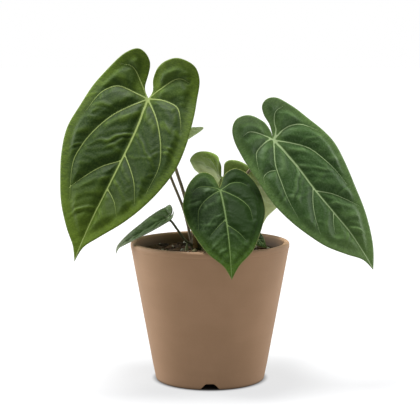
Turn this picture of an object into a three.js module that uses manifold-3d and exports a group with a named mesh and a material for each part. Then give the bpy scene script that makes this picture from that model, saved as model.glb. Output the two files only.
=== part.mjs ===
// A potted velvet-leaved anthurium: seven heart-shaped leaves on slender petioles rise from a short
// stem in a bark mix, in a tapered matt pot. Millimetres, +Z up, origin at the centre of the pot's
// underside, with the plant's open side towards -Y.
import * as THREE from "three";
import { mergeVertices } from "three/addons/utils/BufferGeometryUtils.js";
import Module from "manifold-3d";

const wasm = await Module();
wasm.setup();

// Pot
const POT_HEIGHT = 105;
const RIM_RADIUS = 60;
const RIM_BAND = 4.4; // upright band under the lip
const RIM_CREASE = 0.35; // how far the wall steps in under the band
const BASE_RADIUS = 41.4;
const WALL = 4;
const LIP_ROUND = 1.6;
const LIP_WIDTH = 4.5;
const FOOT_ROUND = 1.3;
const FOOT_WIDTH = 5;
const UNDERSIDE_LIFT = 5; // the floor's underside stands this far above the ground
const FLOOR_THICKNESS = 3.4;
const CENTRE_PAD_RADIUS = 9;
const POT_SIDES = 48;

// Drainage: four notches through the foot ring and six holes through the floor
const NOTCHES = 4;
const NOTCH_WIDTH = 14.6;
const NOTCH_TOP_WIDTH = 8.3;
const NOTCH_HEIGHT = 4.4;
const NOTCH_DEPTH = 12;
const DRAIN_HOLES = 6;
const DRAIN_RADIUS = 4;
const DRAIN_CIRCLE = 24;

// Potting mix
const MIX_HEIGHT = 96; // height of its surface above the ground
const MIX_MOUND = 1.2;
const MIX_SIDES = 36;

// Stem, in a socket in the mix
const STEM = new THREE.Vector2(-9.5, 1);
const STEM_RADIUS = 4.5;
const STEM_FOOT = 62;
const STEM_TOP = 109;
const STEM_NODE_SPACING = 7;
const STEM_NODE_SWELL = 0.5;

const GAP = 0.3; // clearance between neighbouring pieces
const BLADE_THICKNESS = 0.6;
const BLADE_LOBE_ROWS = 6;
const BLADE_BODY_ROWS = 14;
const BLADE_COLUMNS = 4;
const PETIOLE_SIDES = 8;
const PETIOLE_STEPS = 18;
const TIP_SHARE = 0.14; // the drip tip's share of the blade's length

// Leaves. A blade's flat shape has u along the midrib from the insertion to the tip, with the basal
// lobes at u below 0, and v across it, with v above 0 to the right of someone who faces the upper
// side with the tip down. Each half is outlined from the sinus over the lobe to the tip. heading is
// the midrib's plan direction from +X, dive its angle below level, roll its turn about the midrib.
// droop, curl and lobeDroop bend the body, the drip tip and the lobes away from the upper side; fold
// and rim are the halves' slopes at the midrib and at the margin. A petiole leaves the stem at an
// azimuth and a height, and via points lead it to the insertion.
const LEAVES = {
  large: {
    insertion: [-46, -8, 212],
    heading: -133, dive: 54, roll: -21,
    droop: 8, curl: 8, lobeDroop: -45, fold: 11, rim: -2,
    left: [[-1, 0], [-9, -6], [-28, -7.5], [-36.8, -17], [-31, -28.5], [-17.5, -38.3], [-1, -45.2],
      [20, -48], [40, -49.5], [60, -44.5], [81, -35.3], [97.5, -26.5], [113, -15], [123.5, -5.5], [134, 0]],
    right: [[-1, 0], [-7, 1], [-16, -2], [-25.5, -0.7], [-32.5, 6], [-37, 17], [-34.5, 30], [-25, 36.7],
      [-8, 39.7], [8, 43.6], [28, 47.2], [48, 47.8], [66, 43.5], [83, 36], [98, 26], [112.5, 12.3],
      [122.5, 3], [134, 0]],
    petiole: { radius: 1.2, azimuth: 112, height: 102,
      via: [[-14.2, 6, 118], [-19.8, 5, 140.6], [-25.8, 4.4, 159.5], [-29.4, 4.8, 174], [-31.8, 4.4, 187],
        [-38, 0.8, 200.5]] },
  },
  right: {
    insertion: [47.5, -4, 181.5],
    heading: -17.5, dive: 47, roll: 40,
    droop: 12, curl: 8, lobeDroop: -36, fold: 6, rim: -2,
    left: [[-2, 1], [-7.5, 3], [-15.4, 2.5], [-23.4, -3.3], [-28.4, -11], [-30.2, -20.5], [-26.2, -27],
      [-18.2, -30.4], [-6.6, -32.3], [5.6, -34.6], [17, -36.2], [31.6, -38.1], [43, -38.1], [58, -35.5],
      [73, -30.5], [86.5, -24], [100, -13.4], [111, -3.5], [122, 0]],
    right: [[-2, 1], [-11, 5.3], [-20, 5.4], [-26.8, 7.3], [-29.3, 12.8], [-27.3, 20.1], [-21.5, 26.5],
      [-9.2, 33.9], [4.3, 37.6], [17.6, 40.6], [30.4, 41], [47, 36.6], [65, 30.3], [83.3, 24],
      [99.4, 16.3], [111, 9], [122, 0]],
    petiole: { radius: 1.2, azimuth: 18, height: 104,
      via: [[2, 3.4, 118], [15, 2.6, 138.5], [29, 1.8, 157.4], [39, 3.4, 170.5]] },
  },
  front: {
    insertion: [7.5, -22.5, 145.6],
    heading: -82, dive: 36, roll: 4,
    droop: 30, curl: 6, lobeDroop: -20, fold: 7, rim: -7,
    left: [[-0.7, 0], [-9.2, -1.7], [-14.5, -3.9], [-18.1, -9.7], [-15.4, -16.8], [-5.2, -24.1],
      [12.7, -29], [25, -28.2], [38.6, -24.2], [55.1, -15.6], [66, -5], [76, 0]],
    right: [[-0.7, 0], [-7.8, 1.8], [-12.8, 3.5], [-17.7, 7.9], [-19.3, 14.5], [-13.9, 22.1], [-1.8, 28.1],
      [19.2, 30.6], [33.7, 27.5], [54.5, 18], [66, 6.7], [76, 0]],
    petiole: { radius: 1.1, azimuth: 292, height: 103,
      via: [[-4.6, -6.4, 116], [1.6, -9.8, 127], [5.8, -13.6, 136.5]] },
  },
  rear: {
    insertion: [9.5, 21.5, 150],
    heading: 62, dive: 29.5, roll: 13,
    droop: 4, curl: 8, lobeDroop: -76, fold: 31, rim: -14,
    left: [[-1, 0], [-5, -2.6], [-11, -3.8], [-17, -4.4], [-21, -8], [-22.5, -14.5], [-21, -21],
      [-16.5, -26], [-6, -31], [8, -34], [24, -34.5], [46, -29], [55.5, -23], [65, -15.3], [72, -9.2],
      [78, -4.8], [85, 0]],
    right: [[-1, 0], [-5, -1], [-9.5, -1.9], [-15, -1.7], [-20, 1.8], [-22.3, 8.3], [-22.9, 16.2],
      [-21.3, 22.6], [-17.6, 27.6], [-11.6, 31.5], [-3, 35], [8, 38], [19, 39.5], [36, 35.5], [54, 25.5],
      [69, 13.5], [78, 5], [85, 0]],
    petiole: { radius: 1.15, azimuth: 62, height: 105,
      via: [[-5.4, 9.6, 118], [-0.6, 14, 129.5], [4.2, 17.6, 140]] },
  },
  low: {
    insertion: [-31, -14, 124.5],
    heading: 183, dive: 29, roll: -20,
    droop: 5, curl: 35, lobeDroop: -60, fold: 22, rim: 6,
    left: [[-0.8, 0], [-4.5, -1], [-8, -3.5], [-9, -7.5], [-5, -11.3], [3, -13], [12.5, -12], [21, -9.8],
      [31, -7.6], [40, -4.4], [48.5, 0]],
    right: [[-0.8, 0], [-4.5, 1], [-8.5, 3.5], [-9.5, 7], [-5, 10.4], [3, 11.8], [12.5, 11.9], [21, 10.6],
      [31, 7.8], [40, 4.2], [48.5, 0]],
    petiole: { radius: 0.85, azimuth: 212, height: 98.5,
      via: [[-18.4, -4.6, 106], [-24.4, -9.2, 115], [-28.2, -12.4, 121]] },
  },
  hidden: {
    insertion: [-37, 14, 182.5],
    heading: 141.6, dive: 21.5, roll: 11,
    droop: 20, curl: 8, lobeDroop: 9.5, fold: 14.5, rim: -2,
    left: [[-1.4, 0], [-10, -2], [-19.5, -4.4], [-26.4, -9.8], [-27.8, -15.6], [-23.4, -22.9],
      [-12.7, -29.7], [2.9, -34.6], [19.5, -36.5], [41, -32.7], [60.4, -24.4], [78, -13.2], [88.7, -4.9],
      [97.5, 0]],
    right: [[-1.4, 0], [-7, 5.2], [-13, 8.4], [-19.5, 9.6], [-25.5, 12.5], [-27.8, 17.5], [-23.4, 24],
      [-12.7, 29.7],      [2.9, 34.6], [19.5, 36.5], [41, 32.7], [60.4, 24.4], [78, 13.2], [88.7, 4.9], [97.5, 0]],
    petiole: { radius: 1, azimuth: 165, height: 104,
      via: [[-17, 3.4, 117.5], [-21, 6, 131.3], [-29.9, 8.4, 153.3], [-34.8, 9.4, 169]] },
  },
  inner: {
    insertion: [31, 9, 109.5],
    heading: 5, dive: 36, roll: 40,
    droop: 20, curl: 5, lobeDroop: -30, fold: 12, rim: -5,
    left: [[-0.4, 0], [-3.4, -0.8], [-5.3, -2.8], [-3.4, -6], [1.6, -7.6], [7.5, -7], [12.5, -4.2],
      [16, -1.4], [18, 0]],
    right: [[-0.4, 0], [-3.4, 0.8], [-5.3, 2.8], [-3.4, 6], [1.6, 7.6], [7.5, 7], [12.5, 4.2], [16, 1.4],
      [18, 0]],
    petiole: { radius: 0.7, azimuth: 345, height: 99.5,
      via: [[2, 0.6, 103.4], [13, 5, 106.8], [24, 9.8, 107.2]] },
  },
};

// Dry bracts that clasp the stem, in the gaps between the petioles
const BRACTS = [
  { azimuth: 252, spread: 20, foot: 100.2, top: 113, flare: 2.2 },
  { azimuth: 321, spread: 11, foot: 100.2, top: 116, flare: 1.4 },
  { azimuth: 139, spread: 7.5, foot: 100.2, top: 109, flare: 0.3 },
];
const BRACT_THICKNESS = 0.5;

// Aerial roots that leave the stem above the mix and dip into it
const ROOTS = [
  { azimuth: 250, height: 98, reach: 11, depth: 14, radius: 1.2 },
  { azimuth: 318, height: 98, reach: 13, depth: 16, radius: 1.25 },
  { azimuth: 83, height: 97.8, reach: 12, depth: 15, radius: 1.1 },
];

// A new shoot that has just broken the surface
const SHOOT = { foot: [-18.5, -4.5, 88], tip: [-17.2, -5.4, 104.5], radius: 1.5 };

const COLOURS = {
  pot: 0x8a7058,
  mix: 0x2b1e12,
  stem: 0x3b3420,
  blade: 0x37492a,
  young_blade: 0x74874f,
  petiole: 0x4c4430,
  bract: 0x6a5436,
  root: 0x8a8a62,
  shoot: 0x93a765,
};

const MATT = 0.85;
const VELVET = 0.7;

// Maths helpers

const radians = THREE.MathUtils.degToRad;

function around(azimuth, radius, height) {
  const a = radians(azimuth);
  return new THREE.Vector3(STEM.x + radius * Math.cos(a), STEM.y + radius * Math.sin(a), height);
}

// How far a bend of turn radians over length runs along its first direction and away from it.
function arc(turn, length, at, start = 0) {
  const rate = (Math.abs(turn) < 1e-6 ? 1e-6 : turn) / length;
  const end = start + rate * at;
  return {
    along: (Math.sin(end) - Math.sin(start)) / rate,
    away: (Math.cos(start) - Math.cos(end)) / rate,
    angle: end,
  };
}

// Solids

function solidOf(geometry) {
  const bare = geometry.clone();
  bare.deleteAttribute("normal");
  bare.deleteAttribute("uv");
  const merged = mergeVertices(bare, 1e-4);
  return new wasm.Manifold(
    new wasm.Mesh({
      numProp: 3,
      vertProperties: merged.attributes.position.array,
      triVerts: new Uint32Array(merged.index.array),
    }),
  );
}

function geometryOf(solid) {
  const mesh = solid.getMesh();
  const positions = new Float32Array(mesh.numVert * 3);
  for (let i = 0; i < mesh.numVert; i++) {
    const at = i * mesh.numProp;
    positions.set(mesh.vertProperties.subarray(at, at + 3), i * 3);
  }
  const geometry = new THREE.BufferGeometry();
  geometry.setAttribute("position", new THREE.BufferAttribute(positions, 3));
  geometry.setIndex(new THREE.BufferAttribute(mesh.triVerts.slice(), 1));
  geometry.computeVertexNormals();
  return geometry;
}

function lathe(profile, sides) {
  const points = profile.map(([r, z]) => new THREE.Vector2(r, z));
  return new THREE.LatheGeometry(points, sides).rotateX(Math.PI / 2);
}

// A tube along a curve, whose radius is scaled by swell at each step.
function tube(points, radius, { sides = PETIOLE_SIDES, steps = PETIOLE_STEPS, swell = () => 1 } = {}) {
  const path = new THREE.CatmullRomCurve3(points, false, "centripetal");
  const section = new THREE.Shape();
  for (let i = 0; i < sides; i++) {
    const a = (2 * Math.PI * i) / sides;
    const [x, y] = [radius * Math.cos(a), radius * Math.sin(a)];
    if (i === 0) section.moveTo(x, y);
    else section.lineTo(x, y);
  }
  section.closePath();
  const geometry = new THREE.ExtrudeGeometry(section, { steps, extrudePath: path, bevelEnabled: false });
  const stations = path.getSpacedPoints(steps);
  const position = geometry.attributes.position;
  const vertex = new THREE.Vector3();
  for (let i = 0; i < position.count; i++) {
    vertex.fromBufferAttribute(position, i);
    let nearest = 0;
    stations.forEach((station, k) => {
      if (station.distanceTo(vertex) < stations[nearest].distanceTo(vertex)) nearest = k;
    });
    const centre = stations[nearest];
    vertex.sub(centre).multiplyScalar(swell(nearest / steps)).add(centre);
    position.setXYZ(i, vertex.x, vertex.y, vertex.z);
  }
  return geometry;
}

// A closed solid from a flat net of triangles: place(point, side) gives a net point's place on the
// upper (side 1) and lower (side -1) skin, and each open edge of the net gets a wall.
function skinned(net, triangles, place) {
  const count = net.length;
  const positions = [];
  for (const side of [1, -1]) net.forEach((p) => positions.push(...place(p, side).toArray()));
  const index = [];
  const open = new Map();
  for (const [a, b, c] of triangles) {
    index.push(a, b, c, c + count, b + count, a + count);
    for (const [from, to] of [[a, b], [b, c], [c, a]]) {
      if (!open.delete(to + "_" + from)) open.set(from + "_" + to, [from, to]);
    }
  }
  for (const [from, to] of open.values()) {
    index.push(to, from, from + count, to, from + count, to + count);
  }
  const geometry = new THREE.BufferGeometry();
  geometry.setAttribute("position", new THREE.Float32BufferAttribute(positions, 3));
  geometry.setIndex(index);
  geometry.computeVertexNormals();
  return geometry;
}

// Leaves

// A blade's own axes at the insertion: along the midrib, out of the upper side, and across.
function bladeFrame(leaf) {
  const [h, d, r] = [leaf.heading, leaf.dive, leaf.roll].map(radians);
  const along = new THREE.Vector3(Math.cos(h) * Math.cos(d), Math.sin(h) * Math.cos(d), -Math.sin(d));
  const level = new THREE.Vector3(Math.sin(h), -Math.cos(h), 0);
  const out = new THREE.Vector3().crossVectors(level, along);
  out.multiplyScalar(Math.cos(r)).addScaledVector(level, Math.sin(r));
  const across = new THREE.Vector3().crossVectors(out, along);
  return { along, out, across, origin: new THREE.Vector3(...leaf.insertion) };
}

// The place of the flat point (u, v) of a blade, lifted off its middle surface.
function bladePoint(leaf, frame, u, v, lift = 0) {
  const length = leaf.left.at(-1)[0];
  const lobe = -Math.min(...leaf.left.map((p) => p[0]), ...leaf.right.map((p) => p[0]));
  const halfWidth = Math.max(...leaf.right.map((p) => p[1]));
  const tipAt = length * (1 - TIP_SHARE);
  let bend = u < 0
    ? arc(radians(leaf.lobeDroop), lobe, u)
    : arc(radians(leaf.droop), length, Math.min(u, tipAt));
  if (u > tipAt) {
    const tip = arc(radians(leaf.curl), length - tipAt, u - tipAt, bend.angle);
    bend = { along: bend.along + tip.along, away: bend.away + tip.away, angle: tip.angle };
  }
  const fold = radians(leaf.fold);
  const slope = arc(radians(leaf.rim) - fold, halfWidth, Math.abs(v), fold);
  const side = Math.sign(v);
  const out = frame.out.clone().multiplyScalar(Math.cos(bend.angle));
  out.addScaledVector(frame.along, Math.sin(bend.angle));
  const tilt = side === 0 ? 0 : slope.angle;
  return frame.origin.clone()
    .addScaledVector(frame.along, bend.along)
    .addScaledVector(frame.out, -bend.away)
    .addScaledVector(frame.across, side * slope.along - lift * side * Math.sin(tilt))
    .addScaledVector(out, slope.away + lift * Math.cos(tilt));
}

// Where a polyline that runs one way in u crosses the row at u.
function crossing(line, u) {
  for (let i = 1; i < line.length; i++) {
    const [a, b] = [line[i - 1], line[i]];
    if ((a.x - u) * (b.x - u) <= 0 && a.x !== b.x) {
      return a.y + ((b.y - a.y) * (u - a.x)) / (b.x - a.x);
    }
  }
  return line.at(-1).y;
}

// The net of one half of a blade: rows across it, from the lobe's top down to the tip.
function halfNet(outline, net, triangles, facing) {
  const curve = new THREE.SplineCurve(outline.map(([u, v]) => new THREE.Vector2(u, v)));
  const edge = curve.getPoints(outline.length * 8);
  const top = edge.reduce((best, p, i) => (p.x < edge[best].x ? i : best), 0);
  const [inner, outer] = [edge.slice(0, top + 1), edge.slice(top)];
  const [topU, sinusU, tipU] = [edge[top].x, edge[0].x, edge.at(-1).x];
  const rows = [];
  for (let i = 0; i < BLADE_LOBE_ROWS; i++) {
    rows.push(topU + (sinusU - topU) * (1 - Math.cos((Math.PI * i) / (2 * BLADE_LOBE_ROWS))));
  }
  for (let i = 0; i <= BLADE_BODY_ROWS; i++) rows.push(sinusU + ((tipU - sinusU) * i) / BLADE_BODY_ROWS);
  const index = rows.map((u, row) => {
    const near = row < BLADE_LOBE_ROWS ? crossing(inner, u) : row === BLADE_LOBE_ROWS ? edge[0].y : 0;
    const far = row === rows.length - 1 ? 0 : crossing(outer, u);
    return Array.from({ length: BLADE_COLUMNS + 1 }, (_, k) => {
      const v = row === 0 ? edge[top].y : near + ((far - near) * k) / BLADE_COLUMNS;
      const found = net.findIndex((p) => Math.hypot(p[0] - u, p[1] - v) < 1e-3);
      return found >= 0 ? found : net.push([u, v]) - 1;
    });
  });
  for (let row = 1; row < rows.length; row++) {
    for (let k = 0; k < BLADE_COLUMNS; k++) {
      const [a, b] = [index[row - 1][k], index[row - 1][k + 1]];
      const [c, d] = [index[row][k], index[row][k + 1]];
      for (const t of [[a, c, d], [a, d, b]]) {
        if (new Set(t).size === 3) triangles.push(facing > 0 ? t : t.toReversed());
      }
    }
  }
}

function bladeGeometry(leaf) {
  const net = [];
  const triangles = [];
  halfNet(leaf.left, net, triangles, -1);
  halfNet(leaf.right, net, triangles, 1);
  const frame = bladeFrame(leaf);
  return skinned(net, triangles, ([u, v], side) =>
    bladePoint(leaf, frame, u, v, (side * BLADE_THICKNESS) / 2));
}

// A petiole from inside the stem to just under the blade, swollen at its sheathing base and where
// it turns into the blade.
function petioleGeometry(leaf) {
  const { radius, azimuth, height, via } = leaf.petiole;
  const frame = bladeFrame(leaf);
  const clear = BLADE_THICKNESS / 2 + GAP + radius * 0.4;
  const points = [
    around(azimuth, STEM_RADIUS - 1.6, height - 3),
    around(azimuth, STEM_RADIUS + radius * 1.1, height + 4),
    ...via.map((p) => new THREE.Vector3(...p)),
    frame.origin.clone().addScaledVector(frame.out, -clear - radius * 3),
    frame.origin.clone().addScaledVector(frame.out, -clear),
  ];
  const swell = (t) => 1 + 0.45 * Math.exp(-t * 9) + 0.3 * Math.exp(-(((t - 0.95) / 0.05) ** 2));
  return tube(points, radius, { swell });
}

// Other pieces of the plant

function stemProfile(grow) {
  const profile = [[0, STEM_FOOT - grow]];
  profile.push([STEM_RADIUS * 0.55 + grow, STEM_FOOT - grow]);
  const rings = Math.floor((STEM_TOP - STEM_FOOT) / STEM_NODE_SPACING);
  for (let i = 0; i < rings; i++) {
    const z = STEM_FOOT + 3 + i * STEM_NODE_SPACING;
    profile.push([STEM_RADIUS - STEM_NODE_SWELL + grow, z]);
    profile.push([STEM_RADIUS + grow, z + STEM_NODE_SPACING * 0.7]);
  }
  profile.push([STEM_RADIUS * 0.75 + grow, STEM_TOP - 1.5 + grow]);
  profile.push([0, STEM_TOP + grow]);
  return profile;
}

function stemGeometry(grow = 0) {
  return lathe(stemProfile(grow), 20).translate(STEM.x, STEM.y, 0);
}

// A bract is a narrow strip of a cone round the stem, pointed at the top and flaring outwards.
function bractGeometry({ azimuth, spread, foot, top, flare }) {
  const [rows, columns] = [7, 4];
  const net = [];
  const triangles = [];
  for (let i = 0; i <= rows; i++) {
    for (let k = 0; k <= columns; k++) net.push([i / rows, (2 * k) / columns - 1]);
  }
  for (let i = 0; i < rows; i++) {
    for (let k = 0; k < columns; k++) {
      const a = i * (columns + 1) + k;
      const c = a + columns + 1;
      triangles.push([a, a + 1, c + 1], [a, c + 1, c]);
    }
  }
  const place = ([t, s], side) => {
    const width = spread * (1 - 0.85 * t ** 2.2);
    const radius = STEM_RADIUS + GAP + BRACT_THICKNESS / 2 + 0.1 + flare * t ** 2;
    return around(azimuth + s * width, radius + (side * BRACT_THICKNESS) / 2, foot + (top - foot) * t);
  };
  return skinned(net, triangles, place);
}

function rootGeometry({ azimuth, height, reach, depth, radius }, grow = 0) {
  const points = [
    around(azimuth, STEM_RADIUS - 2, height + 0.4),
    around(azimuth, STEM_RADIUS + 2, height + 0.5),
    around(azimuth, STEM_RADIUS + reach * 0.6, height - 1.2),
    around(azimuth + 6, STEM_RADIUS + reach * 0.9, height - 6),
    around(azimuth + 8, STEM_RADIUS + reach, MIX_HEIGHT - depth - grow),
  ];
  return tube(points, radius + grow, { steps: 12, swell: (t) => 1 - 0.35 * t ** 2 });
}

function shootGeometry(grow = 0) {
  const [foot, tip] = [SHOOT.foot, SHOOT.tip].map((p) => new THREE.Vector3(...p));
  const axis = tip.clone().sub(foot);
  const height = axis.length();
  const r = SHOOT.radius;
  const profile = [
    [0, -grow], [r * 0.7 + grow, -grow], [r + grow, height * 0.35], [r * 0.85 + grow, height * 0.65],
    [r * 0.45 + grow, height * 0.88], [0, height + grow],
  ];
  const upright = new THREE.Vector3(0, 0, 1);
  const turn = new THREE.Quaternion().setFromUnitVectors(upright, axis.normalize());
  return lathe(profile, 12).applyQuaternion(turn).translate(...SHOOT.foot);
}

// Pot and mix

const wallRadius = (z) => {
  const crease = POT_HEIGHT - RIM_BAND;
  return BASE_RADIUS + ((RIM_RADIUS - RIM_CREASE - BASE_RADIUS) * z) / crease;
};
const innerFloor = UNDERSIDE_LIFT + FLOOR_THICKNESS;
const innerRadius = (z) => {
  const [low, high] = [wallRadius(innerFloor) - WALL, RIM_RADIUS - LIP_WIDTH];
  return low + ((high - low) * (z - innerFloor)) / (POT_HEIGHT - LIP_ROUND - innerFloor);
};

// Points of a quarter round from one angle to another, in degrees from the +r axis.
function round(centreR, centreZ, radius, from, to, steps = 4) {
  return Array.from({ length: steps + 1 }, (_, i) => {
    const a = radians(from + ((to - from) * i) / steps);
    return [centreR + radius * Math.cos(a), centreZ + radius * Math.sin(a)];
  });
}

function potProfile() {
  const crease = POT_HEIGHT - RIM_BAND;
  const footInner = BASE_RADIUS - FOOT_WIDTH;
  const lipInner = RIM_RADIUS - LIP_WIDTH;
  return [
    [0, 0],
    [CENTRE_PAD_RADIUS, 0],
    [CENTRE_PAD_RADIUS, UNDERSIDE_LIFT],
    [footInner, UNDERSIDE_LIFT],
    [footInner, 0],
    ...round(BASE_RADIUS - FOOT_ROUND, FOOT_ROUND, FOOT_ROUND, -90, 0),
    [wallRadius(crease * 0.5), crease * 0.5],
    [wallRadius(crease - 0.5), crease - 0.5],
    [RIM_RADIUS - RIM_CREASE - 0.2, crease],
    [RIM_RADIUS, crease + 0.7],
    ...round(RIM_RADIUS - LIP_ROUND, POT_HEIGHT - LIP_ROUND, LIP_ROUND, 0, 90),
    ...round(lipInner + LIP_ROUND, POT_HEIGHT - LIP_ROUND, LIP_ROUND, 90, 180),
    [innerRadius(crease * 0.5), crease * 0.5],
    ...round(innerRadius(innerFloor + 3) - 3, innerFloor + 3, 3, 0, -90, 3),
    [0, innerFloor],
  ];
}

function notchCutter() {
  const [w, t, h] = [NOTCH_WIDTH / 2, NOTCH_TOP_WIDTH / 2, NOTCH_HEIGHT];
  const shape = new THREE.Shape();
  shape.moveTo(-w - 1, -1);
  shape.lineTo(w + 1, -1);
  shape.lineTo(w, 0);
  shape.quadraticCurveTo(w - 0.6, h, t, h);
  shape.lineTo(-t, h);
  shape.quadraticCurveTo(-w + 0.6, h, -w, 0);
  shape.closePath();
  const block = new THREE.ExtrudeGeometry(shape, { depth: NOTCH_DEPTH, bevelEnabled: false, curveSegments: 5 });
  return block.rotateX(Math.PI / 2).translate(0, -BASE_RADIUS + NOTCH_DEPTH - 4, 0);
}

function potGeometry() {
  let pot = solidOf(lathe(potProfile(), POT_SIDES));
  for (let i = 0; i < NOTCHES; i++) {
    pot = pot.subtract(solidOf(notchCutter().rotateZ((2 * Math.PI * i) / NOTCHES)));
  }
  for (let i = 0; i < DRAIN_HOLES; i++) {
    const a = (2 * Math.PI * (i + 0.5)) / DRAIN_HOLES;
    const drill = new THREE.CylinderGeometry(DRAIN_RADIUS, DRAIN_RADIUS, 20, 16).rotateX(Math.PI / 2);
    drill.translate(DRAIN_CIRCLE * Math.cos(a), DRAIN_CIRCLE * Math.sin(a), UNDERSIDE_LIFT);
    pot = pot.subtract(solidOf(drill));
  }
  return geometryOf(pot);
}

function mixGeometry() {
  const inside = (z) => innerRadius(z) - GAP - 0.15;
  const edge = inside(MIX_HEIGHT - 0.8);
  const profile = [
    [0, innerFloor + GAP],
    [inside(innerFloor) - 3, innerFloor + GAP],
    [inside(innerFloor + 3.4), innerFloor + 3.4],
    [edge, MIX_HEIGHT - 0.8],
    [edge * 0.6, MIX_HEIGHT],
    [edge * 0.3, MIX_HEIGHT + MIX_MOUND * 0.5],
    [0, MIX_HEIGHT + MIX_MOUND * 0.6],
  ];
  let mix = solidOf(lathe(profile, MIX_SIDES)).subtract(solidOf(stemGeometry(GAP)));
  for (const root of ROOTS) mix = mix.subtract(solidOf(rootGeometry(root, GAP)));
  mix = mix.subtract(solidOf(shootGeometry(GAP)));
  return geometryOf(mix);
}

// Assembly

const plant = new THREE.Group();

function add(name, geometry, colour, roughness) {
  const material = new THREE.MeshStandardMaterial({ color: colour, roughness, metalness: 0 });
  const mesh = new THREE.Mesh(geometry, material);
  mesh.name = name;
  plant.add(mesh);
}

const stemSocket = solidOf(stemGeometry(GAP));

add("pot", potGeometry(), COLOURS.pot, MATT);
add("potting_mix", mixGeometry(), COLOURS.mix, 1);
add("stem", stemGeometry(), COLOURS.stem, MATT);

for (const [name, leaf] of Object.entries(LEAVES)) {
  const petiole = solidOf(petioleGeometry(leaf)).subtract(stemSocket);
  add("petiole_" + name, geometryOf(petiole), COLOURS.petiole, MATT);
  const green = name === "rear" ? COLOURS.young_blade : COLOURS.blade;
  add("blade_" + name, bladeGeometry(leaf), green, VELVET);
}

BRACTS.forEach((bract, i) => add("bract_" + (i + 1), bractGeometry(bract), COLOURS.bract, MATT));

ROOTS.forEach((root, i) => {
  const outside = solidOf(rootGeometry(root)).subtract(stemSocket);
  add("aerial_root_" + (i + 1), geometryOf(outside), COLOURS.root, MATT);
});

add("new_shoot", shootGeometry(), COLOURS.shoot, VELVET);

export default plant;
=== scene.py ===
"""A potted velvet-leaved anthurium: seven heart-shaped leaves on slender petioles rise from a short
stem in chunky bark mix, in a tapered matt pot.

Sizes are in millimetres in this file and in metres in the scene. +Z is up, the origin is the centre of
the pot's underside, and the plant's open side faces -Y.
"""

from __future__ import annotations

import logging
import math
import random
from dataclasses import dataclass, field
from typing import Callable, Iterable, Sequence

import bmesh
import bpy
import numpy as np
from mathutils import Matrix, Vector, geometry, noise

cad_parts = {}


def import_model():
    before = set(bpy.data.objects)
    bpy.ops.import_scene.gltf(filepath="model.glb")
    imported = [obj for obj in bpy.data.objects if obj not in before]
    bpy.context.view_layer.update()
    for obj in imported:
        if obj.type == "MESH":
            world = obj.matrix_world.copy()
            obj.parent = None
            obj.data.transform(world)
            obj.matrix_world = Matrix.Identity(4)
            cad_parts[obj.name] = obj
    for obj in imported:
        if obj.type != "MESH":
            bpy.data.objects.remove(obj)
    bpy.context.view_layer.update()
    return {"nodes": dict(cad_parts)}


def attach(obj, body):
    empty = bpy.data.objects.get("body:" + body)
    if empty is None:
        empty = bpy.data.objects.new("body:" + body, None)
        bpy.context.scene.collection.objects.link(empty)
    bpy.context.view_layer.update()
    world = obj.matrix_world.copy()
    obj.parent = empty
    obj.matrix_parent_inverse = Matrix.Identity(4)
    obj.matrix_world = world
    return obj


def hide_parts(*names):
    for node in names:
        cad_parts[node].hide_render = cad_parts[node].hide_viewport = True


log = logging.getLogger("anthurium")

MM = 0.001
STEM_AXIS = (-9.5, 1.0)
STEM_RADIUS = 4.5
LARGEST_BLADE = 134.0

Colour = tuple[float, float, float]
Point = tuple[float, float, float]
Flat = tuple[float, float]
Line = tuple[Flat, ...]


# Colours and small maths


def srgb(red: float, green: float, blue: float) -> Colour:
    """Turn a colour in steps of 0 to 255 into linear light.

    Args:
        red: The red step.
        green: The green step.
        blue: The blue step.

    Returns:
        The linear red, green and blue, each from 0 to 1.
    """

    def linear(step: float) -> float:
        """Undo the display curve of one channel."""
        share = step / 255
        return share / 12.92 if share <= 0.04045 else ((share + 0.055) / 1.055) ** 2.4

    return linear(red), linear(green), linear(blue)


def smooth(low: float, high: float, value: np.ndarray) -> np.ndarray:
    """Rise smoothly from 0 at low to 1 at high.

    Args:
        low: Where the rise starts.
        high: Where it ends.
        value: The values to look up.

    Returns:
        The share of the rise at each value.
    """
    share = np.clip((value - low) / (high - low), 0.0, 1.0)
    return share * share * (3.0 - 2.0 * share)


def spline(points: Sequence[Sequence[float]], steps: int = 12) -> np.ndarray:
    """Run a Catmull-Rom curve through points.

    Args:
        points: The points, in two or three dimensions.
        steps: How many steps each stretch between two points gets.

    Returns:
        The curve's points, one row each.
    """
    knots = np.array(points, float)
    padded = np.vstack([knots[:1], knots, knots[-1:]])
    share = (np.arange(steps) / steps)[:, None]
    parts = []
    for before, start, end, after in zip(padded, padded[1:], padded[2:], padded[3:]):
        leave, arrive = (end - before) / 2, (after - start) / 2
        parts.append(
            start
            + leave * share
            + (3 * (end - start) - 2 * leave - arrive) * share**2
            + (2 * (start - end) + leave + arrive) * share**3
        )
    return np.vstack([*parts, knots[-1:]])


def travelled(line: np.ndarray) -> np.ndarray:
    """The distance along a polyline from its start to each of its points."""
    return np.concatenate([[0], np.cumsum(np.linalg.norm(np.diff(line, axis=0), axis=1))])


def evenly(line: np.ndarray, step: float) -> np.ndarray:
    """Space a polyline's points evenly, and keep its ends.

    Args:
        line: The polyline, one row for each point.
        step: The wanted distance between points.

    Returns:
        The evenly spaced polyline.
    """
    run = travelled(line)
    stations = np.linspace(0, run[-1], max(2, round(run[-1] / step) + 1))
    return np.stack([np.interp(stations, run, column) for column in line.T], axis=1)


def wandering(points: np.ndarray, seed: float) -> np.ndarray:
    """Soft noise from -1 to 1 on a plane.

    Args:
        points: The flat points, in units of the noise's grain.
        seed: Which noise it is.

    Returns:
        The noise at each point.
    """
    return np.array([noise.noise(Vector((u, v, seed * 0.37))) for u, v in points])


def once_round(count: int) -> np.ndarray:
    """A number of angles in radians, evenly spread once round."""
    return np.linspace(0, 2 * math.pi, count, endpoint=False)


# Node trees


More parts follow.
